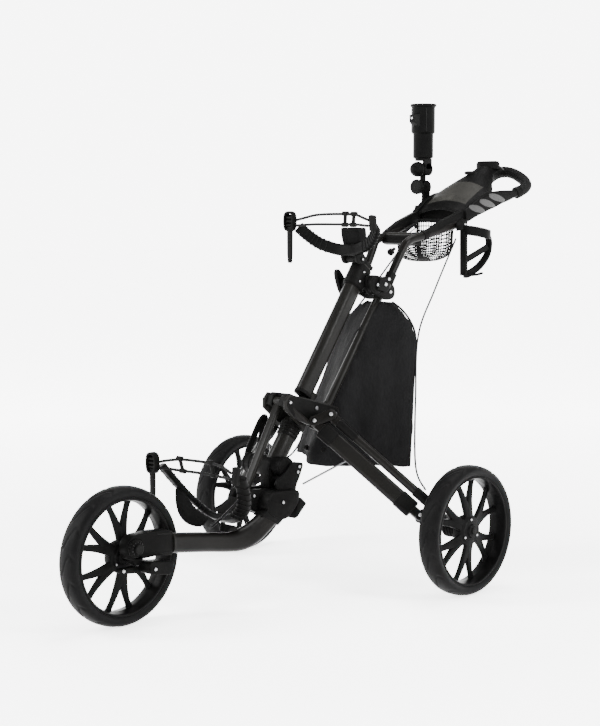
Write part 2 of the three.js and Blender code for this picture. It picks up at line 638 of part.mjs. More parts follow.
function gripLoop() {
  const half = [[92, 566, 911], [94, 578, 917], [90, 592, 926], [70, 606, 940], [36, 612, 956]];
  const path = [...half, [0, 614, 962], ...half.slice().reverse().map((p) => mirror(-1, p))];
  return sweep([[87, 552, 905], ...path, [-87, 552, 905]], disc(14, 8), 22);
}

function meshBasket() {
  const rim = [[40, 224, 797], [56, 336, 826], [-56, 336, 826], [-40, 224, 797]];
  const floor = [[30, 228, 752], [44, 326, 768], [-44, 326, 768], [-30, 228, 752], [24, 262, 730],
    [24, 300, 734], [-24, 300, 734], [-24, 262, 730]];
  const inner = [...rim.map(([x, y, z]) => [x * 0.93, y + (y < 270 ? 3 : -3), z + 6]),
    ...floor.map(([x, y, z]) => [x * 0.92, y + (y < 270 ? 3 : -3), z + 3])];
  return cut(hull([...rim, ...floor]), hull(inner));
}

function bottleCage() {
  const spine = beam([103, 312, 820], [103, 314, 700], rect(20, 9), [0, 1, 0]);
  const clamp = hull([[88, 300, 808], [88, 322, 812], [108, 300, 812], [108, 322, 816], [88, 300, 832],
    [88, 322, 838], [108, 304, 834], [108, 322, 838]]);
  const band = sweep([[103, 312, 812], [128, 312, 810], [142, 330, 806], [146, 350, 802], [140, 368, 800],
    [126, 378, 800]], rect(7, 24), 10);
  const outer = sweep([[126, 376, 802], [130, 380, 780], [128, 374, 750], [120, 352, 722], [108, 326, 704],
    [103, 316, 702]], rect(8, 18), 10);
  const strut = beam([103, 314, 735], [130, 374, 770], rect(6, 15), [0, 0, 1]);
  const foot = beam([100, 312, 702], [132, 346, 702], rect(5, 16), [1, -1, 0]);
  return join(spine, clamp, band, outer, strut, foot);
}

// ---------------------------------------------------------------- umbrella holder

const POST_X = -108;             // clear of the opening lid
const LOW_BALL = [413, 921];
const TOP_BALL = [414, 966];

function umbrellaClamp() {
  const saddle = hull([[-102, 400, 868], [-95, 400, 868], [-102, 426, 876], [-95, 426, 876],
    [-99, 398, 912], [-94, 398, 914], [-99, 428, 928], [-94, 428, 928]]);
  return join(saddle, crossRod(LOW_BALL, POST_X + 8, -92, 16.5, 14));
}

function umbrellaJoint() {
  const lower = crossRod(LOW_BALL, POST_X - 10, POST_X + 8 - GAP, 17, 14);
  const neck = rod([POST_X, ...LOW_BALL], [POST_X, TOP_BALL[0], TOP_BALL[1]], 7.7);
  const upper = crossRod(TOP_BALL, POST_X - 10, POST_X + 8 - GAP, 16, 14);
  return join(lower, neck, upper);
}

function umbrellaDial() {
  return rod([POST_X, LOW_BALL[0] - 17.5, LOW_BALL[1]], [POST_X, LOW_BALL[0] - 30, LOW_BALL[1]], 19, 16);
}

function umbrellaSocket() {
  const [y, z] = TOP_BALL;
  const base = z + 28;
  const profile = [[20, 0], [24, 0], [26, 3], [26, 62], [30, 66], [30, 131], [33.5, 133], [33.5, 139],
    [20, 139]];
  const tube = new THREE.LatheGeometry([...profile, profile[0]].map(([r, h]) => new THREE.Vector2(r, h)), 20)
    .rotateX(Math.PI / 2).translate(POST_X, y, base);
  const plug = rod([POST_X, y, base - 6], [POST_X, y, base + 8], 22, 16);
  const ear = crossRod(TOP_BALL, POST_X + 8, POST_X + 20, 16, 14);
  const link = hull([z, base - 1].flatMap((h) => [[POST_X + 8, y - 12, h], [POST_X + 20, y - 12, h],
    [POST_X + 8, y + 12, h], [POST_X + 20, y + 12, h]]));
  const lug = hull([[POST_X - 12, y - 26, base + 78], [POST_X + 12, y - 26, base + 78],
    [POST_X - 12, y - 26, base + 112], [POST_X + 12, y - 26, base + 112], [POST_X - 9, y - 46, base + 92],
    [POST_X + 9, y - 46, base + 92], [POST_X - 9, y - 46, base + 110], [POST_X + 9, y - 46, base + 110]]);
  return join(tube, plug, ear, link, lug);
}

function umbrellaKnob() {
  const [y, z] = TOP_BALL;
  return join(rod([POST_X, y - 16.5, z], [POST_X, y - 34, z], 19.5, 16),
    rod([POST_X, y - 30, z], [POST_X, y - 44, z], 13, 16));
}

// ---------------------------------------------------------------- cloth bag and cords

function storageBag() {
  const outer = [[8, 119, 632], [8, -52, 392], [8, -120, 290], [112, 108, 566], [186, 18, 274],
    [60, -40, 268], [30, -110, 274]];
  const both = [...outer, ...outer.map((p) => mirror(-1, p))];
  const inner = [[5, 108, 660], [5, -44, 400], [5, -106, 298], [104, 104, 590], [176, 16, 282],
    [56, -38, 276], [26, -104, 282]];
  return cut(hull(both), hull([...inner, ...inner.map((p) => mirror(-1, p))]));
}

function cord(side) {
  const path = [[76, 316, 790], [99, 205, 668], [120, 118, 566], [150, 72, 430], [190, 24, 272],
    [250, -14, 226]];
  return sweep(path.map((p) => mirror(side, p)), disc(1.8, 6), 20);
}

// ---------------------------------------------------------------- assembly

hub();
mast();
add('lower_tube', lowerTube(), satinBlack);
add('carry_loop', carryLoop(), plasticBlack);
add('front_link', frontLink(), satinBlack);
add('arm_casting', armCasting(), plasticBlack);
add('front_arm', frontArm(), satinBlack);
add('arm_end_block', armEndBlock(), plasticBlack);
add('tracking_knob', trackingKnob(), plasticBlack);
add('brake_pedal', brakePedal(), plasticBlack);
add('foot_block', footBlock(), rubberBlack);
wheel('front', 0, FRONT_Y, 1);
leg('near', 1);
leg('far', -1);
wheel('near', TRACK_HALF, 0, 1);
wheel('far', -TRACK_HALF, 0, -1);
add('lower_cradle', lowerCradle(), plasticBlack);
add('cradle_pedestal', lowerPedestal(), plasticBlack);
add('near_bag_pad', lowerPad(1), rubberBlack);
add('far_bag_pad', lowerPad(-1), rubberBlack);
add('lower_strap', elasticStrap([[0, -474, 316], [[60, -480, 315], [96, -490, 310], [112, -495, 306]]],
  [[0, -462, 288], [[60, -472, 289], [96, -488, 292], [112, -496, 292]]],
  [[[-62, -483, 324], [-62, -470, 282]], [[30, -478, 324], [30, -464, 282]]]), rubberBlack);
add('lower_buckle', buckle([-128, -494, 302], 84), plasticBlack);
add('upper_base', upperBase(), plasticBlack);
add('upper_cradle', upperCradle(), plasticBlack);
add('cushion_block', cushionBlock(), rubberBlack);
add('upper_strap', elasticStrap([[0, -36, 850], [[60, -42, 848], [96, -52, 840], [113, -56, 836]]],
  [[0, -38, 826], [[60, -45, 826], [96, -55, 824], [113, -58, 823]]],
  [[[26, -37, 858], [26, -40, 818]], [[56, -41, 857], [56, -45, 818]]]), rubberBlack);
add('upper_buckle', buckle([-130, -53, 832], 98), plasticBlack);
add('handle_frame', handleFrame(), satinBlack);
add('console_tray', consoleTray(), plasticBlack);
add('console_lid', consoleLid(), lidGrey);
add('grip_loop', gripLoop(), rubberBlack);
add('mesh_basket', meshBasket(), meshBlack);
add('bottle_cage', bottleCage(), plasticBlack);
add('umbrella_clamp', umbrellaClamp(), plasticBlack);
add('umbrella_joint', umbrellaJoint(), plasticBlack);
add('umbrella_dial', umbrellaDial(), plasticBlack);
add('umbrella_socket', umbrellaSocket(), plasticBlack);
add('umbrella_knob', umbrellaKnob(), plasticBlack);
add('storage_bag', storageBag(), clothBlack);
add('near_cord', cord(1), clothBlack);
add('far_cord', cord(-1), clothBlack);

export default cart;
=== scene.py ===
"""Finished look of the three-wheel golf push cart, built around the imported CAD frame."""
import math
from collections import namedtuple

import bmesh
import bpy
from mathutils import Matrix, Vector, noise


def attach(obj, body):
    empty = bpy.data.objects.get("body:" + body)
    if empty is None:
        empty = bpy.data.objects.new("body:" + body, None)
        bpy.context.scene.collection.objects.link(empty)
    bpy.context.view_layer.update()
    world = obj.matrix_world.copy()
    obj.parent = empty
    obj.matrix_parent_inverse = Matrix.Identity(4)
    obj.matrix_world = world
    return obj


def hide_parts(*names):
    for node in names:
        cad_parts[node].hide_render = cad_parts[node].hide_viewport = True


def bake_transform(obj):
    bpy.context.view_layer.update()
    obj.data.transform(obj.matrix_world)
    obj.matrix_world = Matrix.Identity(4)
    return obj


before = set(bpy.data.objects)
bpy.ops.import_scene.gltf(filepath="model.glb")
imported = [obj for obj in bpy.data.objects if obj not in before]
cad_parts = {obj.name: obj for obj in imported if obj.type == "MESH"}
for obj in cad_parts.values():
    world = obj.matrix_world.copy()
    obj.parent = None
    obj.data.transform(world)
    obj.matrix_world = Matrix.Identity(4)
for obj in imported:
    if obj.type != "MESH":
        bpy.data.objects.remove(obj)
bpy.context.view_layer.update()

ORIGIN_Y = 111.5      # mm from the rear axle line to the box centre
MM = 0.001

# ------------------------------------------------------------------ working points, as in the CAD, in mm
LEAN = math.radians(54.4)
MAST_DIR = (0.0, math.cos(LEAN), math.sin(LEAN))
MAST_BACK = (0.0, math.sin(LEAN), -math.cos(LEAN))
MAST_START = (0.0, -152.0, 441.0)
MAIN_PIN = (-148, 407)
BAR_PIN = (-82, 388)
LINK_TOP = (-233, 427)
LINK_LOW = (-346, 228)
CAST_PIN = (-261, 208)
KNUCKLE_PIN = (56, 683)
BAR_TOP = (122, 664)
CRADLE_PIN = (22, 744)
LEG_AXIS = (0.594, -0.671, 0.444)
LEG_LOW = (56, -175, 378)
LEG_UP = (79.5, -145, 392)
LEG_SPAN = (234, 93, -199)
WHEEL_R = 146
FRONT_Y = -705
TRACK_HALF = 356
SIDES = (("near", 1), ("far", -1))

# A hung piece is on no body and stays where it is built; points in the row frame, in metres.
HUNG = "hung"


def add(a, b, k=1.0):
    return tuple(p + k * q for p, q in zip(a, b))


def along_mast(t, back=0.0):
    return add(add(MAST_START, MAST_DIR, t), MAST_BACK, back)


def leg_point(start, t, off=0.0):
    return add(add(start, LEG_SPAN, t), LEG_AXIS, off)


def flip(side, point):
    return (side * point[0], point[1], point[2])


# ------------------------------------------------------------------ materials


class Nodes:
    """Small helper that lays down shader nodes and joins them."""

    def __init__(self, name):
        self.material = bpy.data.materials.new(name)
        self.material.use_nodes = True
        self.tree = self.material.node_tree
        self.shader = self.tree.nodes["Principled BSDF"]
        coords = self.new("ShaderNodeTexCoord")
        self.where = coords.outputs["Object"]

    def new(self, kind, **values):
        node = self.tree.nodes.new(kind)
        for key, value in values.items():
            if key in node.inputs.keys():
                node.inputs[key].default_value = value
            else:
                setattr(node, key, value)
        return node

    def link(self, out, into):
        self.tree.links.new(out, into)

    def noise(self, scale, detail=3.0, roughness=0.55, stretch=None):
        where = self.where
        if stretch:
            mapping = self.new("ShaderNodeMapping")
            mapping.inputs["Scale"].default_value = stretch
            self.link(where, mapping.inputs["Vector"])
            where = mapping.outputs["Vector"]
        node = self.new("ShaderNodeTexNoise", Scale=scale, Detail=detail, Roughness=roughness)
        self.link(where, node.inputs["Vector"])
        return node.outputs["Fac"]

    def ramp(self, value, stops):
        node = self.new("ShaderNodeValToRGB")
        self.link(value, node.inputs["Fac"])
        elements = node.color_ramp.elements
        while len(elements) < len(stops):
            elements.new(0.5)
        for element, (place, color) in zip(elements, stops):
            element.position = place
            element.color = (*color, 1.0)
        return node.outputs["Color"]

    def span(self, value, low, high):
        node = self.new("ShaderNodeMapRange")
        node.inputs["To Min"].default_value = low
        node.inputs["To Max"].default_value = high
        self.link(value, node.inputs["Value"])
        return node.outputs["Result"]

    def bump(self, height, strength, distance):
        node = self.new("ShaderNodeBump", Strength=strength, Distance=distance)
        self.link(height, node.inputs["Height"])
        previous = self.shader.inputs["Normal"].links
        if previous:
            self.link(previous[0].from_socket, node.inputs["Normal"])
        self.link(node.outputs["Normal"], self.shader.inputs["Normal"])

    def painted_edge_highlight(self, base, highlight_colour, amount):
        """Paints a highlight: mixes a lighter colour in where edges are convex."""
        geometry = self.new("ShaderNodeNewGeometry")
        edge = self.ramp(geometry.outputs["Pointiness"], [(0.52, grey(0)), (0.60, grey(1))])
        mix = self.new("ShaderNodeMixRGB", blend_type="MIX")
        scale = self.new("ShaderNodeMath", operation="MULTIPLY")
        scale.inputs[1].default_value = amount
        self.link(edge, scale.inputs[0])
        self.link(scale.outputs["Value"], mix.inputs["Fac"])
        self.link(base, mix.inputs["Color1"])
        mix.inputs["Color2"].default_value = (*highlight_colour, 1.0)
        return mix.outputs["Color"]


def grey(value):
    return (value, value, value)


def powder_coat():
    n = Nodes("powder_coat_black")
    tone = n.ramp(n.noise(14, 4), [(0.3, (0.0014, 0.0013, 0.0012)), (0.7, (0.0030, 0.0028, 0.0025))])
    # Convex edges get a painted highlight in a lighter grey.
    n.link(n.painted_edge_highlight(tone, (0.014, 0.014, 0.013), 0.4), n.shader.inputs["Base Color"])
    n.link(n.span(n.noise(60, 4), 0.24, 0.38), n.shader.inputs["Roughness"])
    n.shader.inputs["Specular IOR Level"].default_value = 0.045
    n.bump(n.noise(1400, 2), 0.25, 0.0003)
    return n.material


def moulded(name, dark, light, rough_low, rough_high, grain=1100, depth=0.0003):
    n = Nodes(name)
    tone = n.ramp(n.noise(22, 4), [(0.3, dark), (0.7, light)])
    # Lighter colour for the painted highlight on convex edges.
    highlight_colour = tuple(min(1.0, c * 2.2 + 0.004) for c in light)
    n.link(n.painted_edge_highlight(tone, highlight_colour, 0.4), n.shader.inputs["Base Color"])
    n.link(n.span(n.noise(45, 3), rough_low, rough_high), n.shader.inputs["Roughness"])
    n.shader.inputs["Specular IOR Level"].default_value = 0.015
    cells = n.new("ShaderNodeTexVoronoi", Scale=grain)
    n.link(n.where, cells.inputs["Vector"])
    n.bump(cells.outputs["Distance"], 0.3, depth)
    return n.material


def tyre_foam():
    n = Nodes("tyre_foam")
    tone = n.ramp(n.noise(30, 5), [(0.25, (0.0010, 0.0010, 0.0011)), (0.75, grey(0.0026))])
    n.shader.inputs["Specular IOR Level"].default_value = 0.03
    # Convex edges get a painted highlight in a lighter grey.
    n.link(n.painted_edge_highlight(tone, (0.013, 0.013, 0.0125), 0.4), n.shader.inputs["Base Color"])
    n.link(n.span(n.noise(90, 4), 0.44, 0.62), n.shader.inputs["Roughness"])
    n.bump(n.noise(500, 4, 0.7), 0.4, 0.0006)
    return n.material


def foam_grip():
    n = Nodes("foam_grip")
    tone = n.ramp(n.noise(240, 3), [(0.3, grey(0.0012)), (0.75, grey(0.0034))])
    n.link(tone, n.shader.inputs["Base Color"])
    n.shader.inputs["Roughness"].default_value = 0.74
    n.shader.inputs["Specular IOR Level"].default_value = 0.05
    pores = n.new("ShaderNodeTexVoronoi", Scale=700)
    n.link(n.where, pores.inputs["Vector"])
    n.bump(pores.outputs["Distance"], 0.5, 0.0006)
    return n.material


def brushed(name, low, high):
    n = Nodes(name)
    n.shader.inputs["Metallic"].default_value = 1.0
    streaks = n.noise(60, 4, 0.6, stretch=(2, 30, 30))
    n.link(n.ramp(streaks, [(0.2, low), (0.8, high)]), n.shader.inputs["Base Color"])
    n.link(n.span(streaks, 0.2, 0.38), n.shader.inputs["Roughness"])
    n.bump(streaks, 0.1, 0.0002)
    return n.material


def silver_paint():
    n = Nodes("silver_paint")
    flakes = n.noise(1600, 2)
    tone = n.ramp(flakes, [(0.3, (0.012, 0.012, 0.0118)), (0.7, (0.022, 0.022, 0.0215))])
    n.link(tone, n.shader.inputs["Base Color"])
    n.shader.inputs["Specular IOR Level"].default_value = 0.12
    n.link(n.span(n.noise(80), 0.32, 0.44), n.shader.inputs["Roughness"])
    n.bump(flakes, 0.08, 0.0002)
    return n.material


def woven(name, dark, light, pitch):
    """Plain weave: two sets of fine threads that cross, with the light and shade of soft folds painted in."""
    n = Nodes(name)
    threads = []
    for axis, phase in (("X", 0.0), ("Z", 1.3)):
        wave = n.new("ShaderNodeTexWave", Scale=pitch, bands_direction=axis, Distortion=0.6)
        wave.inputs["Phase Offset"].default_value = phase
        n.link(n.where, wave.inputs["Vector"])
        threads.append(wave.outputs["Fac"])
    weave = n.new("ShaderNodeMath", operation="MAXIMUM")
    n.link(threads[0], weave.inputs[0])
    n.link(threads[1], weave.inputs[1])
    # Long vertical noise: it paints the light and shade of cloth folds into the colour, and it also bumps the
    # folds.
    fold_relief_and_painted_shade = n.noise(20, 3, stretch=(1.0, 1.0, 0.22))
    both = n.new("ShaderNodeMath", operation="MULTIPLY")
    n.link(weave.outputs["Value"], both.inputs[0])
    n.link(n.span(fold_relief_and_painted_shade, 0.1, 1.3), both.inputs[1])
    n.link(n.ramp(both.outputs["Value"], [(0.1, dark), (0.9, light)]), n.shader.inputs["Base Color"])
    n.shader.inputs["Roughness"].default_value = 0.86
    n.shader.inputs["Sheen Weight"].default_value = 0.015
    n.shader.inputs["Specular IOR Level"].default_value = 0.03
    n.shader.inputs["Sheen Roughness"].default_value = 0.4
    n.bump(weave.outputs["Value"], 0.45, 0.0004)
    n.bump(fold_relief_and_painted_shade, 0.6, 0.012)
    return n.material


# A look is the record's material slot and the Blender material that stands for it.
Look = namedtuple("Look", "slot material")

COAT = Look("satin_black", powder_coat())
PLASTIC = Look("plastic_black",
               moulded("textured_plastic", grey(0.0009), (0.0022, 0.0022, 0.0021), 0.36, 0.50))
RIM_PLASTIC = Look("rim_black", moulded("rim_plastic", grey(0.0010), grey(0.0024), 0.26, 0.38, 900))
RUBBER = Look("rubber_black", moulded("soft_rubber", grey(0.0010), grey(0.0026), 0.52, 0.66, 700, 0.0005))
LID = Look("lid_grey",
           moulded("lid_plastic", (0.0100, 0.0098, 0.0088), (0.0150, 0.0145, 0.0132), 0.34, 0.46, 1300))
TYRE = Look("tyre_black", tyre_foam())
FOAM = Look("rubber_black", foam_grip())
STEEL = Look("steel", brushed("brushed_steel", (0.20, 0.20, 0.205), (0.34, 0.34, 0.345)))
DARK_STEEL = Look("steel", brushed("dark_steel_rod", (0.045, 0.045, 0.047), (0.09, 0.09, 0.093)))
SILVER = Look("steel", silver_paint())
CLOTH = Look("cloth_black", woven("bag_cloth", (0.0018, 0.0018, 0.0019), (0.0058, 0.0058, 0.0060), 260))
NETTING = Look("mesh_black", woven("netting", grey(0.0025), grey(0.007), 900))
ELASTIC = woven("elastic_cord", grey(0.003), grey(0.010), 700)
STRAP = Look("rubber_black", ELASTIC)
CORD = Look("cloth_black", ELASTIC)

# ------------------------------------------------------------------ mesh building


def catmull(points, per_span=8, closed=False):
    """Smooth curve through the points, which may have any number of numbers each."""
    count = len(points)
    result = []
    spans = count if closed else count - 1
    for i in range(spans):
        def pick(k):
            return points[k % count] if closed else points[min(max(k, 0), count - 1)]
        p0, p1, p2, p3 = pick(i - 1), pick(i), pick(i + 1), pick(i + 2)
        for j in range(per_span):
            t = j / per_span
            result.append(tuple(
                0.5 * (2 * b + (c - a) * t + (2 * a - 5 * b + 4 * c - d) * t * t
                       + (3 * b - a - 3 * c + d) * t ** 3)
                for a, b, c, d in zip(p0, p1, p2, p3)))
    if not closed:
        result.append(tuple(points[-1]))
    return result


def round_section(width, height, radius, steps=5):
    """Outline of a rounded rectangle, centred, counter-clockwise."""
    outline = []
    radius = min(radius, width / 2 - 0.01, height / 2 - 0.01)
    for sx, sy, start in ((1, 1, 0), (-1, 1, 90), (-1, -1, 180), (1, -1, 270)):
        for i in range(steps + 1):
            a = math.radians(start + 90 * i / steps)
            outline.append((sx * (width / 2 - radius) + radius * math.cos(a),
                            sy * (height / 2 - radius) + radius * math.sin(a)))
    return outline


def circle(radius, steps=20):
    return [(radius * math.cos(2 * math.pi * i / steps), radius * math.sin(2 * math.pi * i / steps))
            for i in range(steps)]


class Piece:
    """One visible piece: closed shells in mm, turned into a finished object on its CAD body."""

    def __init__(self, name, body, look):
        self.name = name
        self.body = body
        self.slot = look.slot
        self.material = look.material
        self.mesh = bmesh.new()

    def vert(self, point):
        return self.mesh.verts.new(Vector((point[0], point[1] + ORIGIN_Y, point[2])) * MM)

    def skin(self, rings, caps=True, closed=False):
        """Quads between rings with the same number of points."""
        made = [[self.vert(p) for p in ring] for ring in rings]
        count = len(made[0])
        last = len(made) if closed else len(made) - 1
        for i in range(last):
            a, b = made[i], made[(i + 1) % len(made)]
            for j in range(count):
                k = (j + 1) % count
                self.mesh.faces.new((a[j], a[k], b[k], b[j]))
        if caps and not closed:
            self.mesh.faces.new(list(reversed(made[0])))
            self.mesh.faces.new(made[-1])
        return self

    def sweep(self, path, section, up=(0, 0, 1), scale=None, closed=False):
        """Section carried along a path; its second axis stays as near `up` as it can."""
        rings = []
        count = len(path)
        for i, point in enumerate(path):
            before = path[(i - 1) % count] if closed or i else path[0]
            after = path[(i + 1) % count] if closed or i < count - 1 else path[-1]
            ahead = (Vector(after) - Vector(before)).normalized()
            tall = Vector(up) - ahead * ahead.dot(Vector(up))
            tall.normalize()
            wide = ahead.cross(tall) * -1
            k = scale(i / (count - 1)) if scale else (1.0, 1.0)
            rings.append([Vector(point) + wide * (a * k[0]) + tall * (b * k[1]) for a, b in section])
        return self.skin(rings, closed=closed)

    def rod(self, start, end, radius, steps=24, end_radius=None):
        direction = Vector(end) - Vector(start)
        up = (0, 0, 1) if abs(direction.normalized().z) < 0.9 else (0, 1, 0)
        k = (end_radius or radius) / radius
        return self.sweep([start, end], circle(radius, steps), up,
                          scale=lambda t: (1 + t * (k - 1), 1 + t * (k - 1)))

    def cross(self, centre, from_x, to_x, radius, steps=24):
        y, z = centre
        return self.rod((from_x, y, z), (to_x, y, z), radius, steps)

    def plate(self, outline, from_x, to_x):
        """Side-view outline of (y, z) points given thickness along X."""
        return self.skin([[(from_x, y, z) for y, z in outline], [(to_x, y, z) for y, z in outline]])

    def cheeks(self, outline, inner, outer):
        """The same plate on the far and the near side of the centre line."""
        for side in (-1, 1):
            self.plate(outline, side * inner, side * outer)

    def turned(self, profile, centre, steps=96, axis="X"):
        """Closed (radius, height) profile turned about an axis through centre."""
        rings = []
        for i in range(steps):
            a = 2 * math.pi * i / steps
            c, s = math.cos(a), math.sin(a)
            if axis == "X":
                rings.append([(centre[0] + h, centre[1] + r * c, centre[2] + r * s) for r, h in profile])
            elif axis == "Y":
                rings.append([(centre[0] + r * s, centre[1] + h, centre[2] + r * c) for r, h in profile])
            else:
                rings.append([(centre[0] + r * c, centre[1] + r * s, centre[2] + h) for r, h in profile])
        return self.skin(rings, caps=False, closed=True)

    def hull(self, points):
        made = [self.vert(p) for p in points]
        result = bmesh.ops.convex_hull(self.mesh, input=made)
        spare = {e for key in ("geom_interior", "geom_unused") for e in result[key]
                 if isinstance(e, bmesh.types.BMVert)}
        bmesh.ops.delete(self.mesh, geom=list(spare), context="VERTS")
        return self

    def block(self, low, high):
        return self.hull([(x, y, z) for x in (low[0], high[0]) for y in (low[1], high[1])
                          for z in (low[2], high[2])])

    def raw(self):
        """The shells as a bare object."""
        bmesh.ops.recalc_face_normals(self.mesh, faces=self.mesh.faces)
        return as_object(self.name, self.mesh, self.material)

    def finish(self, *replaced, bevel=0.0, segments=2, smooth=38):
        """The finished object, which takes the place of the CAD nodes named first."""
        bmesh.ops.dissolve_degenerate(self.mesh, dist=1e-7, edges=self.mesh.edges)
        made = self.raw()
        settle(made, self.body, replaced, bevel, segments, smooth)
        return made


def as_object(name, mesh, material):
    data = bpy.data.meshes.new(name)
    mesh.to_mesh(data)
    mesh.free()
    data.materials.append(material)
    made = bpy.data.objects.new(name, data)
    bpy.context.scene.collection.objects.link(made)
    return made


def evaluated_mesh(made):
    """The object's mesh with its modifiers applied."""
    return bpy.data.meshes.new_from_object(made.evaluated_get(bpy.context.evaluated_depsgraph_get()))


def settle(made, body, replaced, bevel=0.0, segments=2, smooth=38):
    """Rounds the edges, sets smooth shading by angle, and hands the piece to its body."""
    if bevel:
        modifier = made.modifiers.new("bevel", "BEVEL")
        modifier.width = bevel * MM
        modifier.segments = segments
        modifier.limit_method = "ANGLE"
        modifier.angle_limit = math.radians(32)
        modifier.harden_normals = False
    made.data.polygons.foreach_set("use_smooth", [True] * len(made.data.polygons))
    made.data.update()
    bpy.context.view_layer.objects.active = made
    baked = evaluated_mesh(made)
    made.modifiers.clear()
    made.data = baked
    baked.polygons.foreach_set("use_smooth", [True] * len(baked.polygons))
    baked.set_sharp_from_angle(angle=math.radians(smooth))
    if body == HUNG:
        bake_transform(made)
    else:
        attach(made, body)
    if replaced:
        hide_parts(*replaced)


def rounded_copy(node, body, look, bevel=0.8):
    """The CAD solid again, with its flat faces merged and its edges rounded."""
    mesh = bmesh.new()
    mesh.from_mesh(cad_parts[node].data)
    bmesh.ops.remove_doubles(mesh, verts=mesh.verts, dist=1e-6)
    bmesh.ops.dissolve_limit(mesh, angle_limit=math.radians(1.0), verts=mesh.verts, edges=mesh.edges)
    made = as_object(node + "_finish", mesh, look.material)
    settle(made, body, (node,), bevel)


# ------------------------------------------------------------------ wheels


def tyre(name, body, centre):
    """Foam tyre with a rounded tread cut by slanting S grooves."""
    steps = 288
    half_profile = [(123.4, -22.0), (127, -24.4), (131, -25.6), (135, -25.8), (138.5, -24.2), (141.5, -21),
                    (143.6, -17), (144.8, -12.6), (145.5, -8.4), (145.9, -4.2), (146, 0)]
    profile = half_profile + [(r, -h) for r, h in reversed(half_profile[:-1])]
    profile = catmull(profile, 2)
    grooves = 16
    piece = Piece(name + "_tread", body, TYRE)
    rings = []
    for i in range(steps):
        angle = 2 * math.pi * i / steps
        ring = []
        for r, h in profile:
            depth = 0.0
            if r > 139:
                swing = 0.42 * math.sin(h / 25 * math.pi * 0.9)
                phase = (angle / (2 * math.pi) * grooves + swing) % 1.0
                away = min(phase, 1 - phase)
                depth = 1.7 * max(0.0, 1 - (away / 0.085) ** 2) * min(1.0, (r - 139) / 2)
            ring.append((centre[0] + h, centre[1] + (r - depth) * math.cos(angle),
                         centre[2] + (r - depth) * math.sin(angle)))
        rings.append(ring)
    piece.skin(rings, caps=False, closed=True)
    piece.finish(name + "_tyre", smooth=50)


def rim(name, body, centre, side):
    """Barrel with lips, and six pairs of dished spokes that leave a stepped hub."""
    cx, cy, cz = centre

    def place(points):
        return [(cx + side * x, cy + y, cz + z) for x, y, z in points]

    piece = Piece(name + "_wheel_rim", body, RIM_PLASTIC)
    barrel = [(122.9, -22), (122.9, 22), (121.2, 23.4), (118.8, 23.2), (117.6, 21), (116.6, 12), (114.4, 3),
              (114.4, -3), (116.6, -12), (117.6, -21), (118.8, -23.2), (121.2, -23.4)]
    piece.turned(barrel, centre)
    hub = [(8.6, -14), (27, -14), (33, -11), (35, -6), (35, 7), (33.5, 11), (31, 13), (16, 15), (13, 19),
           (11.5, 18.5), (8.6, 18.5)]
    piece.turned([(r, side * h) for r, h in hub], centre, 48)
    for i in range(12):
        pair = math.radians(30 + 60 * (i // 2))
        spread = math.radians(14.5 if i % 2 else -14.5)
        rings = []
        for t in (0.0, 0.14, 0.28, 0.4, 0.52, 0.66, 0.8, 0.92, 1.0):
            angle = pair + spread * (0.18 + 0.82 * max(0.0, (t - 0.12) / 0.88) ** 0.9)
            r = 22 + 95 * t
            x = 9 - 17 * t ** 0.8
            wide = 25 - 15 * t ** 0.8 + 7.0 * max(0.0, (t - 0.8) / 0.2) ** 2
            thick = 11 - 2.5 * t
            out = (0, math.cos(angle), math.sin(angle))
            along = (0, -math.sin(angle), math.cos(angle))
            section = round_section(thick, wide, 3.2, 3)
            rings.append(place([(x + a, r * out[1] + b * along[1], r * out[2] + b * along[2])
                                for a, b in section]))
        piece.skin(rings)
    piece.finish(name + "_rim", bevel=0, smooth=34)
    screws = Piece(name + "_hub_screws", body, STEEL)
    for k in range(3):
        angle = math.radians(90 + 120 * k)
        y, z = cy + 25 * math.cos(angle), cz + 25 * math.sin(angle)
        x = cx + side * 13.2
        screws.cross((y, z), x, x + side * 2.0, 2.7, 16)
        screws.cross((y, z), x + side * 2.0, x + side * 2.5, 1.6, 6)
    screws.finish(bevel=0.3)
    cap = Piece(name + "_hub_cap", body, PLASTIC)
    cap.turned([(0.4, side * 14), (12.6, side * 14), (12.6, side * 18), (10, side * 20), (5, side * 20.8),
                (0.4, side * 21)], centre, 40)
    cap.finish()


def wheels():
    places = [("front", (0, FRONT_Y, WHEEL_R), 1)]
    places += [(name, (side * TRACK_HALF, 0, WHEEL_R), side) for name, side in SIDES]
    for name, centre, side in places:
        tyre(name, name + "_wheel", centre)
        rim(name, name + "_wheel", centre, side)


# ------------------------------------------------------------------ fasteners


def bolts(name, body, places, radius=3.4):
    """Button-head bolts with a hexagon socket; each place is (point, outward direction)."""
    piece = Piece(name, body, STEEL)
    for point, out in places:
        way = Vector(out).normalized()
        foot = Vector(point)
        piece.rod(foot, foot + way * 1.6, radius, 24)
        piece.rod(foot + way * 1.6, foot + way * 3.0, radius, 24, radius * 0.62)
        piece.rod(foot + way * 3.0, foot + way * 3.2, radius * 0.42, 6)
    piece.finish(bevel=0.25)


# ------------------------------------------------------------------ hub, mast and bars


def oval_tube(piece, start, end, width, depth, up):
    return piece.sweep([start, end], round_section(width, depth, width / 2, 10), up)


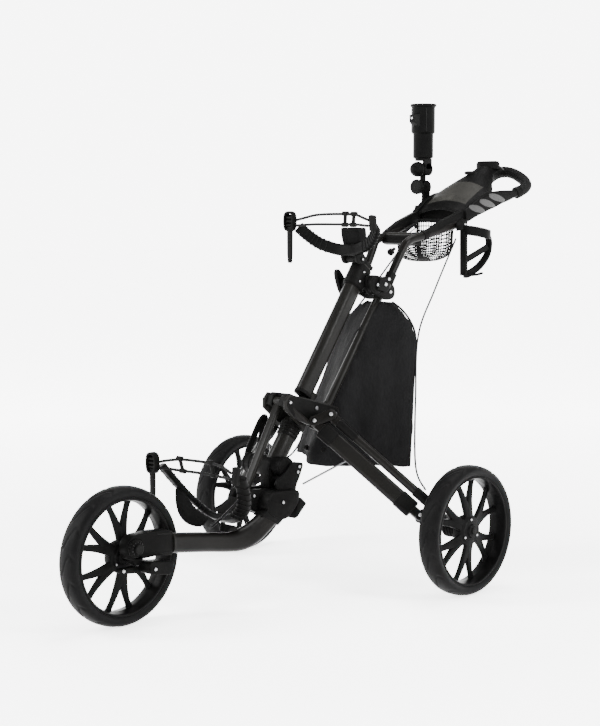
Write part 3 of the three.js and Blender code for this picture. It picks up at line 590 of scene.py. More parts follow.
def mast():
    tube = Piece("mast_tube_finish", "mast", COAT)
    oval_tube(tube, along_mast(-8), along_mast(352), 32, 45, MAST_BACK)
    foot = (0, *MAIN_PIN)
    tube.sweep([add(foot, MAST_DIR, -16), add(foot, MAST_DIR, 40)], round_section(16, 34, 4), MAST_BACK)
    tube.finish("mast_tube", bevel=0.5)
    sleeve = Piece("mast_foot_sleeve", "mast", PLASTIC)
    oval_tube(sleeve, along_mast(-8), along_mast(0), 34, 47, MAST_BACK)
    sleeve.finish(bevel=1.2)
    collar = Piece("mast_collar_finish", "mast", PLASTIC)
    oval_tube(collar, along_mast(292), along_mast(346), 42, 55, MAST_BACK)
    oval_tube(collar, along_mast(289.5), along_mast(293), 38, 51, MAST_BACK)
    collar.cross(KNUCKLE_PIN, -20, 20, 12)
    for level in (303, 332):
        oval_tube(collar, along_mast(level), along_mast(level + 2.2), 43.6, 56.6, MAST_BACK)
    collar.finish("mast_collar", bevel=1.2, segments=3)
    heads = [((side * 20.9, *along_mast(t, -7)[1:]), (side, 0, 0)) for t in (304, 330) for side in (1, -1)]
    bolts("mast_collar_bolts", "mast", heads, 2.6)


def rear_bar():
    rear = Piece("rear_bar_finish", "rear_bar", COAT)
    low, high = (0, *BAR_PIN), (0, *BAR_TOP)
    rear.rod(add(low, MAST_DIR, 8), add(high, MAST_DIR, -12), 10, 32)
    for pin, way in ((BAR_PIN, 1), (BAR_TOP, -1)):
        rear.cross(pin, -12, 12, 11, 32)
        rear.sweep([(0, *pin), add((0, *pin), MAST_DIR, 26 * way)], round_section(16, 20, 4), MAST_BACK)
    rear.finish("rear_bar", bevel=0.6)


def knuckle():
    outline = catmull([(36, 700), (60, 706), (92, 700), (134, 680), (137, 652), (108, 645), (70, 657),
                       (42, 664)], 5, closed=True)
    piece = Piece("knuckle_finish", "knuckle", PLASTIC)
    for side in (-1, 1):
        piece.plate(outline, side * 22, side * 29)
        inset = [(y * 0.86 + 12, z * 0.86 + 95) for y, z in outline]
        piece.plate(inset, side * 28.6, side * 29.8)
    piece.cross(KNUCKLE_PIN, -62, 46, 6)
    piece.cross(BAR_TOP, -24, 24, 4)
    piece.finish("knuckle", bevel=1.2, segments=3)
    bolts("knuckle_bolts", "knuckle", [((46, *KNUCKLE_PIN), (1, 0, 0)), ((29.4, *BAR_TOP), (1, 0, 0)),
                                       ((-29.4, *BAR_TOP), (-1, 0, 0))], 4.2)
    knob = Piece("clamp_knob_finish", "clamp_knob", PLASTIC)
    knob.cross(KNUCKLE_PIN, -65.8, -51.2, 13, 40)
    blade = catmull([(30, 712), (42, 716), (72, 676), (75, 654), (64, 646), (46, 664), (34, 690)], 5,
                    closed=True)
    knob.plate(blade, -72, -60)
    knob.finish("clamp_knob", bevel=2.2, segments=3)
    bolts("clamp_knob_screw", "clamp_knob", [((-71.8, 52, 684), (-1, 0, 0))], 3.6)


def hub():
    for name, side in SIDES:
        rounded_copy(f"hub_plate_{name}", "hub", COAT, 1.2)
    rounded_copy("hub_spacer", "hub", PLASTIC, 1.0)
    pins = Piece("hub_pins", "hub", DARK_STEEL)
    pins.cross(MAIN_PIN, -39, 39, 5, 32)
    pins.cross(BAR_PIN, -39, 39, 4, 32)
    pins.finish("hub_main_pin", "rear_bar_pin", bevel=0.4)
    spots = [MAIN_PIN, BAR_PIN, (-158, 380), LINK_TOP, (-120, 392)]
    bolts("hub_bolts", "hub", [((s * 35.8, *spot), (s, 0, 0)) for spot in spots for s in (-1, 1)], 3.8)
    boot = Piece("hub_cover", "hub", PLASTIC)
    outline = catmull([(-226, 440), (-170, 427), (-122, 414), (-84, 402), (-76, 388), (-94, 374), (-122, 366),
                       (-200, 381), (-240, 414), (-241, 432)], 4, closed=True)
    boot.cheeks(outline, 35.7, 37.4)
    boot.finish(bevel=0.9)
    for name, side in SIDES:
        heads = [(flip(side, leg_point(p, 0, 13.2)), flip(side, LEG_AXIS)) for p in (LEG_LOW, LEG_UP)]
        bolts(f"{name}_leg_pin_heads", "hub", heads, 4.4)


# ------------------------------------------------------------------ lower tube, front link and front arm


def lower_tube():
    piece = Piece("lower_tube_finish", "lower_tube", COAT)
    oval_tube(piece, (0, -186, 376), (0, -248, 290), 38, 44, MAST_BACK)
    piece.cheeks([(-160, 405), (-152, 419), (-138, 412), (-140, 398), (-176, 352), (-204, 378)], 10, 20)
    piece.finish("lower_tube", bevel=0.8)
    plastic = Piece("lower_tube_barrel", "lower_tube", PLASTIC)
    for k in range(4):
        place = (0, -192 - 5.2 * k, 368.5 - 7.2 * k)
        after = add(place, (0, -2.4, -3.3))
        oval_tube(plastic, place, after, 47 - k * 1.2, 53 - k * 1.2, MAST_BACK)
    plastic.cross((-254, 282), -78, 44, 23, 48)
    for x in (-74, -58, 38):
        plastic.cross((-254, 282), x, x + 3, 24, 48)
    tail = catmull([(-278, 286), (-256, 304), (-232, 288), (-240, 240), (-246, 204), (-256, 193), (-270, 198),
                    (-277, 214), (-280, 250)], 5, closed=True)
    plastic.plate(tail, -14, 14)
    plastic.finish(bevel=1.4, segments=3)
    bolts("barrel_screw", "lower_tube", [((-78, -254, 282), (-1, 0, 0))], 5.4)


def carry_loop():
    loop = Piece("carry_loop_finish", "lower_tube", PLASTIC)
    path = catmull([(-89, -188, 377), (-89, -196, 352), (-89, -206, 316), (-89, -218, 289), (-89, -238, 284),
                    (-89, -246, 300), (-89, -226, 336), (-89, -202, 372)], 8, closed=True)
    loop.sweep(path, round_section(16, 9, 4, 4), (1, 0, 0), closed=True)
    loop.rod((-79, -244, 286), (-93, -240, 286), 13, 28)
    loop.finish("carry_loop", bevel=0, smooth=60)


def front_link():
    piece = Piece("front_link_finish", "front_link", COAT)
    top, low = (0, *LINK_TOP), (0, *LINK_LOW)
    span = tuple(b - a for a, b in zip(top, low))
    piece.sweep([add(top, span, 0.02), add(top, span, 0.98)], round_section(20, 11, 3.4), (0, 1, 0))
    piece.cross(LINK_TOP, -10, 10, 10, 32)
    piece.cross(LINK_LOW, -10, 10, 10, 32)
    piece.finish("front_link", bevel=0.7)


def front_arm():
    lower = catmull([(-608, 144), (-520, 132), (-441, 120), (-405, 117), (-374, 121), (-343, 133),
                     (-311, 153), (-284, 170)], 8)
    upper = catmull([(-334, 198), (-358, 184), (-389, 171), (-420, 164), (-450, 164), (-520, 175),
                     (-608, 187)], 8)
    piece = Piece("front_arm_finish", "front_arm", COAT)
    rings = []
    for i in range(49):
        t = i / 48
        low = lower[round(t * (len(lower) - 1))]
        high = upper[round((1 - t) * (len(upper) - 1))]
        middle = ((low[0] + high[0]) / 2, (low[1] + high[1]) / 2)
        reach = math.hypot(high[0] - low[0], high[1] - low[1])
        along = ((high[0] - low[0]) / reach, (high[1] - low[1]) / reach)
        rings.append([(47 + a, middle[0] + along[0] * b, middle[1] + along[1] * b)
                      for a, b in round_section(28, reach, 13.5, 8)])
    piece.skin(rings)
    piece.finish("front_arm", bevel=0, smooth=60)
    plastic = Piece("arm_casting_finish", "front_arm", PLASTIC)
    cheek = catmull([(-236, 250), (-222, 236), (-226, 214), (-240, 180), (-262, 168), (-300, 178),
                     (-352, 196), (-366, 218), (-352, 240), (-318, 240), (-268, 236)], 4, closed=True)
    plastic.cheeks(cheek, 18, 32.5)
    plastic.plate([(-246, 178), (-262, 168), (-346, 194), (-340, 204), (-262, 180)], -20, 20)
    root = catmull([(-262, 234), (-234, 227), (-241, 198), (-282, 171), (-334, 199), (-320, 233)], 5,
                   closed=True)
    plastic.plate(root, 30, 64)
    sleeve = [(-300, 160), (-282, 172), (-332, 200), (-350, 188)]
    plastic.plate(sleeve, 31.5, 62.5)
    shield = catmull([(-242, 292), (-225, 292), (-208, 286), (-217, 262), (-230, 238), (-236, 212),
                      (-272, 212), (-296, 250), (-268, 272)], 4, closed=True)
    plastic.plate(shield, 44.6, 52)
    for pin in (CAST_PIN, LINK_LOW):
        plastic.cross(pin, -30, 30, 5)
    plastic.finish("arm_casting", bevel=1.6, segments=3)
    near_heads = [(64, -286, 210), (32.4, *LINK_LOW), (52, -226, 270), (52, -221, 282)]
    far_heads = [(-32.4, *LINK_LOW), (-32.4, *CAST_PIN)]
    places = [(head, (1, 0, 0)) for head in near_heads] + [(head, (-1, 0, 0)) for head in far_heads]
    bolts("arm_casting_bolts", "front_arm", places, 3.6)
    rounded_copy("foot_block", "front_arm", RUBBER, 1.5)


def arm_end():
    block = Piece("arm_end_finish", "front_arm", PLASTIC)
    outline = catmull([(-735, 170), (-731, 186), (-716, 197), (-690, 199), (-655, 199), (-611, 192),
                       (-611, 165), (-611, 144), (-655, 147), (-716, 147), (-730, 155)], 4, closed=True)
    outline = [(min(y, -611), z) for y, z in outline]
    block.plate(outline, 32, 58)
    block.cross((FRONT_Y, WHEEL_R), 30, 58, 11.5, 32)
    block.cross((FRONT_Y, WHEEL_R), -24, 40, 7.5, 24)
    block.plate([(-655, 194), (-613, 189), (-613, 186), (-655, 191)], 34, 58.8)
    block.plate([(-655, 153), (-613, 151), (-613, 148), (-655, 150)], 34, 58.8)
    block.finish("arm_end_block", bevel=2.0, segments=3)


def tracking_knob():
    """Serrated knob with plain tick marks round its face."""
    centre = (FRONT_Y - 11, WHEEL_R + 26)
    knob = Piece("tracking_knob_finish", "tracking_knob", PLASTIC)
    profile = [(0.5, 58.4), (17, 58.4), (18, 60), (18, 66), (16.4, 69.4), (12, 70.4), (11, 74.6), (9.4, 76),
               (0.5, 76)]
    knob.turned(profile, (0, *centre), 72)
    for y, z in circle(17.4, 18):
        knob.cross((centre[0] + y, centre[1] + z), 59.5, 66.5, 1.5, 8)
    knob.finish("tracking_knob", bevel=0, smooth=30)
    marks = Piece("tracking_marks", "tracking_knob", SILVER)
    for k in range(11):
        a = math.radians(-40 + 26 * k)
        inner, outer = ((70.05, centre[0] + reach * math.cos(a), centre[1] + reach * math.sin(a))
                        for reach in (12.9, 15.6))
        marks.rod(inner, outer, 0.45, 6)
    marks.finish()


def brake_pedal():
    pedal = Piece("brake_pedal_finish", "brake_pedal", PLASTIC)
    arm = catmull([(-744, 131), (-746, 123), (-700, 117), (-642, 118), (-641, 132), (-700, 131)], 4,
                  closed=True)
    pedal.plate(arm, 34, 50)
    pad = catmull([(-694, 142), (-696, 130), (-692, 118), (-668, 114), (-644, 111), (-636, 123), (-634, 136),
                   (-665, 140)], 4, closed=True)
    pedal.plate(pad, 48, 86)
    for k in range(5):
        y = -688 + 10.5 * k
        pedal.hull([(x, edge, z - 0.11 * (edge + 694)) for x in (52, 82) for edge in (y, y + 4)
                    for z in (140, 142.6)])
    pedal.finish("brake_pedal", bevel=1.6, segments=3)
    bolts("pedal_bolts", "brake_pedal", [((50, -738, 127), (1, 0, 0)), ((86, -684, 128), (1, 0, 0))], 3.6)


# ------------------------------------------------------------------ rear legs


def leg(name, side):
    axis = Vector(flip(side, LEG_AXIS)).normalized()
    span = Vector(flip(side, LEG_SPAN)).normalized()
    tall = axis.cross(span)
    for part, start, thick, high in (("lower", LEG_LOW, 16, 38), ("upper", LEG_UP, 18, 20)):
        body = f"{name}_leg_{part}"
        piece = Piece(body + "_finish", body, COAT)
        a, b = (Vector(flip(side, leg_point(start, t))) for t in (0.07, 0.93))
        piece.sweep([a, b], round_section(thick, high, thick / 2.05, 8), tall)
        for t in (0, 1):
            middle = Vector(flip(side, leg_point(start, t)))
            inward = Vector(flip(side, leg_point(start, 0.9 if t else 0.1)))
            piece.hull([centre + axis * off + span * a + tall * b for centre in (middle, inward)
                        for off in (-7, 7) for a, b in circle(10)])
        piece.finish(body, bevel=0.6)
        cover = Piece(f"{name}_leg_{part}_sleeves", body, PLASTIC)
        reach = 0.19 if part == "lower" else 0.24
        for t0, t1 in ((0.075, reach), (0.8, 0.925)):
            a, b = (Vector(flip(side, leg_point(start, t))) for t in (t0, t1))
            cover.sweep([a, b], round_section(thick + 3, high + 3, thick / 2.0, 8), tall)
        cover.finish(bevel=1.1)
    body = f"{name}_wheel_bracket"
    rounded_copy(body, body, PLASTIC, 1.4)
    ends = [(flip(side, leg_point(p, 1, 13)), flip(side, LEG_AXIS)) for p in (LEG_LOW, LEG_UP)]
    bolts(f"{name}_bracket_bolts", body, ends, 4.2)
    rings = Piece(f"{name}_axle_rings", body, PLASTIC)
    for x in (306, 314, 322, 331):
        rings.cross((0, WHEEL_R), side * x, side * (x + 3), 21.2, 40)
    rings.finish(bevel=0.6)
    stay = Piece(f"{name}_stay_finish", f"{name}_stay", DARK_STEEL)
    end = flip(side, leg_point(LEG_LOW, 0.36, -12.5))
    foot = flip(side, (50, -208, 240))
    stay.rod(end, foot, 2.3, 16)
    stay.rod(add(end, tuple(axis), -3.5), add(end, tuple(axis), 3.5), 6, 24)
    stay.finish(f"{name}_stay_rod", bevel=0.3)


# ------------------------------------------------------------------ cradles


def mirrored(half, middle):
    """A path from the far side to the near side, through the middle point."""
    return [flip(-1, p) for p in reversed(half)] + [middle] + list(half)


def ribbed_band(piece, middle, half, width, thick, up, rib_from=0.16):
    """Bent band, mirrored about the centre line, with low ribs across its arms."""
    path = catmull(mirrored(half, middle), 10)
    piece.sweep(path, round_section(width, thick, thick / 2.4, 5), up)
    count = len(path)
    for i in range(3, count - 3, 3):
        share = abs(i / (count - 1) - 0.5)
        if share < rib_from:
            continue
        ahead = Vector(path[i + 1]) - Vector(path[i - 1])
        ahead.normalize()
        start = Vector(path[i]) - ahead * 1.4
        piece.sweep([start, start + ahead * 2.8], round_section(width + 2.6, thick + 2.6, thick / 2.2, 4), up)


def elastic(name, body, top, low, ties):
    piece = Piece(name + "_cords", body, STRAP)
    for middle, half in (top, low):
        path = catmull(mirrored(half, middle), 8)
        piece.sweep(path, circle(3.2, 14))
    piece.finish(name, smooth=60)
    spacers = Piece(name + "_spacers", body, PLASTIC)
    for high, deep in ties:
        high, deep = Vector(high), Vector(deep)
        way = (deep - high).normalized()
        half_bar = Vector((8, 0, 0))
        for middle in (high + way * 7, deep - way * 7):
            spacers.rod(middle - half_bar, middle + half_bar, 5.4, 20)
        spacers.sweep([high + way * 6, deep - way * 6], round_section(9, 6, 2.4), (0, 1, 0))
    spacers.finish(bevel=0.7)


def buckle(name, body, place, length, slot_count):
    x, y, z = place
    piece = Piece(name + "_finish", body, PLASTIC)
    corners = [(x + a, y - 8, z + b) for a, b in ((-11, -16), (11, -16), (11, 18), (-11, 18))]
    piece.sweep(catmull(corners, 6, closed=True), round_section(6, 15, 2), (0, 1, 0), closed=True)
    for level in (-8, 1, 10):
        piece.rod((x - 11, y - 9, z + level), (x + 11, y - 9, z + level), 3.0, 12)
    piece.block((x - 10, y - 5, z - 15), (x + 10, y - 1.5, z + 17))
    head, tip = z - 12, z - length
    outline = [(-8, head), (8, head), (7.4, tip + 20), (5.5, tip + 2), (3, tip), (-3, tip), (-5.5, tip + 2),
               (-7.4, tip + 20)]
    piece.skin([[(x + a, y - 10.6, h) for a, h in outline], [(x + a, y - 5.4, h) for a, h in outline]])
    for k in range(slot_count):
        level = head - 8 - k * 9
        piece.block((x - 5.2, y - 11.6, level - 3.2), (x + 5.2, y - 10.2, level))
    piece.finish(name, bevel=0.8)


def lower_cradle():
    piece = Piece("lower_cradle_finish", "front_arm", PLASTIC)
    half = [(34, -414, 188), (74, -424, 212), (104, -448, 250), (124, -480, 296)]
    ribbed_band(piece, (0, -412, 184), half, 30, 14, (0, 0.5, 1))
    neck = [(-18, -374, 198), (18, -374, 198), (-18, -374, 226), (18, -374, 226), (-22, -408, 178),
            (22, -408, 178), (-22, -408, 196), (22, -408, 196)]
    piece.hull(neck)
    piece.finish("lower_cradle", bevel=1.2)
    rounded_copy("cradle_pedestal", "front_arm", PLASTIC, 2.0)
    for name, side in SIDES:
        pad = Piece(f"{name}_pad_finish", "front_arm", RUBBER)
        rings = []
        for i in range(15):
            t = i / 14
            middle = (12 + 86 * t ** 0.95, -455 - 12 * math.sin(math.pi * t), 182 + 66 * t ** 1.6)
            wide = 12 + 19 * math.sin(math.pi * min(1, 0.12 + t * 0.9)) ** 0.7
            thick = 3.0 + 2.2 * math.sin(math.pi * t)
            rings.append([flip(side, (middle[0] + 0.2 * thick * b, middle[1] + 0.62 * wide * a,
                                      middle[2] - 3 + 0.35 * wide * a + thick * b))
                          for a, b in circle(1, 24)])
        pad.skin(rings)
        pad.finish(f"{name}_bag_pad", smooth=60)
    elastic("lower_strap", "front_arm",
            ((0, -474, 316), [(60, -480, 315), (96, -490, 310), (112, -495, 306)]),
            ((0, -462, 288), [(60, -472, 289), (96, -488, 292), (112, -496, 292)]),
            [((-62, -483, 324), (-62, -470, 282)), ((30, -478, 324), (30, -464, 282))])
    buckle("lower_buckle", "front_arm", (-128, -494, 302), 84, 2)
    tip = Piece("lower_strap_anchor", "front_arm", PLASTIC)
    tip.sweep([(118, -488, 282), (126, -492, 318)], round_section(18, 12, 4), (0, 1, 0))
    tip.finish(bevel=1.4)


def upper_cradle():
    rounded_copy("upper_base", "mast", PLASTIC, 1.0)
    piece = Piece("upper_cradle_finish", "upper_cradle", PLASTIC)
    half = [(30, -2, 767), (74, -14, 780), (104, -26, 800), (122, -40, 820)]
    ribbed_band(piece, (0, 2, 766), half, 28, 14, (0, -1, 0.25), 0.2)
    ear = catmull([(8, 738), (2, 754), (0, 770), (16, 772), (28, 758), (36, 746), (30, 736), (18, 733)], 4,
                  closed=True)
    piece.cheeks(ear, 18, 26)
    piece.finish("upper_cradle", bevel=1.2)
    heads = [((side * 26, *CRADLE_PIN), (side, 0, 0)) for side in (1, -1)]
    bolts("cradle_pin_heads", "upper_cradle", heads, 4.4)
    block = Piece("cushion_block_finish", "upper_cradle", RUBBER)
    rings = []
    for i in range(9):
        t = i / 8
        level = 777.5 + 38.5 * t
        swell = 1 + 0.05 * math.sin(math.pi * t)
        middle_y = 24.5 - 5 * t
        rings.append([(a * swell, middle_y + b * swell, level + 1.5 * (a / 24) ** 2)
                      for a, b in round_section(55, 27 + 6 * t, 6, 5)])
    block.skin(rings)
    made = block.finish("cushion_block", bevel=2.2, segments=3, smooth=50)
    elastic("upper_strap", "upper_cradle",
            ((0, -36, 850), [(60, -42, 848), (96, -52, 840), (113, -56, 836)]),
            ((0, -38, 826), [(60, -45, 826), (96, -55, 824), (113, -58, 823)]),
            [((26, -37, 858), (26, -40, 818)), ((56, -41, 857), (56, -45, 818))])
    buckle("upper_buckle", "upper_cradle", (-130, -53, 832), 98, 5)
    tip = Piece("upper_strap_anchor", "upper_cradle", PLASTIC)
    tip.sweep([(118, -46, 812), (124, -56, 846)], round_section(18, 12, 4), (0, 1, 0))
    tip.finish(bevel=1.4)


# ------------------------------------------------------------------ handle and console


def handle_frame():
    piece = Piece("handle_frame_finish", "handle", COAT)
    half = [(41, 92, 678), (43, 112, 712), (47, 146, 766), (50, 158, 782), (53, 178, 791), (58, 205, 797),
            (66, 262, 811), (79, 340, 830)]
    for side in (-1, 1):
        path = catmull([flip(side, p) for p in half], 8)
        piece.sweep(path, circle(10, 28))
    piece.rod((-57, 204, 799), (57, 204, 799), 7, 28)
    piece.finish(smooth=50)
    plastic = Piece("handle_sockets", "handle", PLASTIC)
    for side in (-1, 1):
        plastic.cross(KNUCKLE_PIN, side * 30, side * 42, 22, 48)
        plastic.cross(KNUCKLE_PIN, side * 41, side * 43.5, 17, 48)
        plastic.hull([flip(side, p) for x in (30, 50) for p in ((x, 52, 672), (x, 62, 700), (x, 96, 702),
                                                               (x, 104, 682), (x, 84, 664))])
        low, high = Vector(flip(side, (43, 110, 709))), Vector(flip(side, (41.5, 97, 686)))
        plastic.sweep([high, low], circle(13, 32))
        collar = [Vector(flip(side, p)) for p in ((58, 207, 797.5), (60.5, 222, 801.5))]
        plastic.sweep(collar, circle(12.4, 32))
    outline = catmull([(187, 790), (185, 780), (209, 775), (215, 790), (205, 799), (194, 797)], 4,
                      closed=True)
    plastic.plate(outline, -52, 52)
    plastic.finish("handle_frame", bevel=1.3, segments=3)
    knob = Piece("bag_hook_knob", "handle", PLASTIC)
    knob.rod((40, 112, 762), (40, 124, 768), 4, 20)
    knob.rod((40, 106, 758), (40, 114, 762), 8.5, 28)
    knob.finish(bevel=1.2)
    bolts("handle_bolts", "handle", [((50, 80, 684), (1, 0, 0)), ((49.8, 92, 696), (1, 0, 0)),
                                     ((-49.8, 84, 690), (-1, 0, 0))], 4.6)


# y, half width, bottom, shoulder, crown of the console, front to back
CONSOLE = [(343, 80, 826, 848, 866), (400, 86, 848, 884, 903), (452, 84, 864, 906, 936),
           (492, 56, 898, 930, 958), (530, 33, 930, 956, 978), (566, 31, 944, 966, 986),
           (596, 26, 946, 960, 974)]
WALL = [(345, 70, 86, 828, 862), (400, 76, 92, 850, 892), (444, 78, 94, 864, 906), (492, 82, 97, 880, 911),
        (544, 82, 98, 895, 912)]
LID_FROM, LID_TO, LID_HALF = 372, 448, 62


def smooth_row(rows, y):
    """Row of a table at y, eased between the rows around it."""
    y = min(max(y, rows[0][0]), rows[-1][0])
    i = max(k for k, row in enumerate(rows[:-1]) if row[0] <= y)
    before, a, b, after = rows[max(i - 1, 0)], rows[i], rows[i + 1], rows[min(i + 2, len(rows) - 1)]
    t = (y - a[0]) / (b[0] - a[0])
    made = [y]
    for p, q, r, u in list(zip(before, a, b, after))[1:]:
        slope_in = 0.5 * (r - p) * (1 if i else 2)
        slope_out = 0.5 * (u - q) * (1 if i + 2 < len(rows) else 2)
        made.append((2 * t ** 3 - 3 * t ** 2 + 1) * q + (t ** 3 - 2 * t ** 2 + t) * slope_in * 0.8
                    + (3 * t ** 2 - 2 * t ** 3) * r + (t ** 3 - t ** 2) * slope_out * 0.8)
    return tuple(made)


def station(y):
    return smooth_row(CONSOLE, y)


def crown_at(x, y):
    _, half, _, shoulder, crown = station(y)
    return shoulder + (crown - shoulder) * (1 - (x / half) ** 2)


def crown_top(half, shoulder, crown, steps=24):
    return [(half * (1 - 2 * i / steps), shoulder + (crown - shoulder) * (1 - (1 - 2 * i / steps) ** 2))
            for i in range(steps + 1)]


def console_ring(y, inset=0.0, lower=0.0):
    _, half, bottom, shoulder, crown = station(y)
    half -= inset
    bottom += inset
    shoulder = shoulder - inset - lower
    crown = crown - inset - lower
    waist = bottom + 0.5 * (shoulder - bottom)
    side = [(half * part, bottom) for part in (-0.86, -0.5, 0, 0.5, 0.86)] + [(half * 0.93, waist)]
    ring = side + crown_top(half, shoulder, crown) + [(-half * 0.93, waist)]
    return [(x, y, z) for x, z in ring]


def subtract(target, *cutters):
    """Cuts the bare objects out of the target and deletes them."""
    for cutter in cutters:
        modifier = target.modifiers.new("cut", "BOOLEAN")
        modifier.operation = "DIFFERENCE"
        modifier.solver = "EXACT"
        modifier.object = cutter
    bpy.context.view_layer.update()
    baked = evaluated_mesh(target)
    target.modifiers.clear()
    target.data = baked
    for cutter in cutters:
        bpy.data.objects.remove(cutter)


def console_shell():
    """Domed body, hollow in front, with a well under the lid; then its lip, arms and side walls."""
    body = Piece("console_body", "handle", PLASTIC)
    body.skin([console_ring(343, 3)] + [console_ring(y) for y in range(346, 595, 4)]
              + [console_ring(596, 2.5)])
    body = body.raw()
    well = Piece("console_well", "handle", PLASTIC)
    well.skin([[(x * 0.66, yy, z + (34 if z > station(y)[3] - 9 else 0)) for x, yy, z in console_ring(y, 6)]
               for y in (376, 400, 425, 444)])
    front = Piece("console_front_hollow", "handle", PLASTIC)
    front.skin([[(x * 0.95, y - 4 * (y < 344), z - (26 if z < station(y)[3] - 9 else 0))
                 for x, _, z in console_ring(y, 4.5)] for y in (343, 350, 357, 366)])
    seat = Piece("lid_seat", "handle", PLASTIC)
    seat.skin([[(x, y, crown_at(x, y) - 5) for x in range(-LID_HALF, LID_HALF + 1, 4)]
               + [(LID_HALF, y, 1000), (-LID_HALF, y, 1000)]
               for y in (LID_FROM, 384, 396, 408, 420, 434, LID_TO)])
    subtract(body, well.raw(), front.raw(), seat.raw())
    settle(body, "handle", ("console_tray",), bevel=1.0, smooth=40)
    lip = Piece("console_front_lip", "handle", PLASTIC)
    lip.sweep([(x, 343.5, z - 1.5) for x, z in crown_top(79, 848, 866)], round_section(5, 5, 2), (0, 1, 0))
    lip.finish(smooth=60)
    arms = Piece("console_arms", "handle", PLASTIC)
    for side in (-1, 1):
        arms.hull([flip(side, p) for p in ((57, 214, 802), (70, 214, 802), (57, 216, 811), (70, 216, 811),
                                           (59, 262, 814), (75, 262, 814), (60, 264, 833), (74, 264, 833),
                                           (64, 346, 832), (80, 346, 832), (65, 346, 861), (79, 346, 860))])
    arms.finish(bevel=2.5, segments=3)
    walls = Piece("console_side_walls", "handle", PLASTIC)
    for side in (-1, 1):
        rings = []
        for y in range(345, 549, 7):
            _, inner, outer, low, high = smooth_row(WALL, y)
            outline = round_section(outer - inner, high - low, 4.5, 4)
            rings.append([flip(side, ((inner + outer) / 2 + a, y, (low + high) / 2 + b)) for a, b in outline])
        walls.skin(rings)
    walls.finish(bevel=0.8, smooth=45)


def console_lid():
    lid = Piece("console_lid_finish", "console_lid", LID)
    rings = []
    for i in range(25):
        y = LID_FROM + 0.5 + (LID_TO - LID_FROM - 1.0) * i / 24
        across = [(LID_HALF - 0.6) * (k / 12 - 1) for k in range(25)]
        rings.append([(x, y, crown_at(x, y)) for x in across]
                     + [(x, y, crown_at(x, y) - 4) for x in across[::-1]])
    lid.skin(rings)
    lid.finish("console_lid", bevel=1.3, segments=3)
    ridge = Piece("lid_thumb_ridge", "console_lid", LID)
    for k in range(4):
        y = LID_FROM + 6 + 4 * k
        ridge.rod((-15, y, crown_at(0, y) - 0.7), (15, y, crown_at(0, y) - 0.7), 1.1, 10)
    ridge.finish(smooth=60)


def console_windows():
    """Three slanted silver windows on each side wall."""
    strips = Piece("console_windows", "handle", SILVER)
    for side in (-1, 1):
        for k in range(3):
            start, end = (356 + 36 * k, 869 + 14.5 * k), (411 + 39 * k, 856 + 14 * k)
            above, below = [], []
            for i in range(13):
                t = i / 12
                swell = math.sin(math.pi * (0.05 + 0.9 * t)) ** 0.55
                y, z = start[0] + (end[0] - start[0]) * t, start[1] + (end[1] - start[1]) * t
                above.append((y + 3 * swell, z + 9.0 * swell))
                below.append((y - 3 * swell, z - 8.0 * swell * (1 - 0.25 * t)))
            outline = above + below[::-1]
            strips.skin([[flip(side, (smooth_row(WALL, y)[2] + proud, y, z)) for y, z in outline]
                         for proud in (-1.5, 0.5)])
    strips.finish(bevel=0.3)


def rear_cap():
    """Oval cap behind the lid with a plain inlay, and the clip for a ball marker."""

    def oval(reach_x, reach_y, *levels):
        return [[(reach_x * a, 548 + reach_y * b, level) for a, b in circle(1, 40)] for level in levels]

    cap = Piece("console_rear_cap", "handle", PLASTIC)
    cap.skin(oval(35, 18, 968, 984))
    cap.skin(oval(33, 15, 984, 987.5))
    cap.finish(bevel=1.2, segments=3)
    badge = Piece("rear_cap_inlay", "handle", SILVER)
    badge.skin(oval(27, 10.5, 986.5, 988.4))
    badge.finish(bevel=0.4)
    clip = Piece("ball_marker_clip", "handle", PLASTIC)
    clip.turned([(0.4, -4), (13, -4), (15, 0), (14, 3.2), (9, 5), (7.5, 3.4), (0.4, 3.2)],
                (-14, 490, crown_at(-14, 490) + 1), 40, "Z")
    clip.finish()


def grip_loop():
    loop = Piece("grip_loop_foam", "handle", FOAM)
    half = [(36, 612, 956), (70, 606, 940), (90, 592, 926), (94, 578, 917), (92, 566, 911), (87, 552, 905)]
    path = catmull(mirrored(half, (0, 614, 962))[::-1], 8)
    loop.sweep(path, circle(14, 32), (0, 0.4, 1))
    loop.finish("grip_loop", smooth=60)
    ends = Piece("grip_end_collars", "handle", PLASTIC)
    for side in (-1, 1):
        a, b = Vector(flip(side, (86, 549, 904))), Vector(flip(side, (91.4, 564, 910)))
        ends.sweep([a, b], circle(15, 32), (0, 0, 1))
    ends.finish(bevel=1.4)


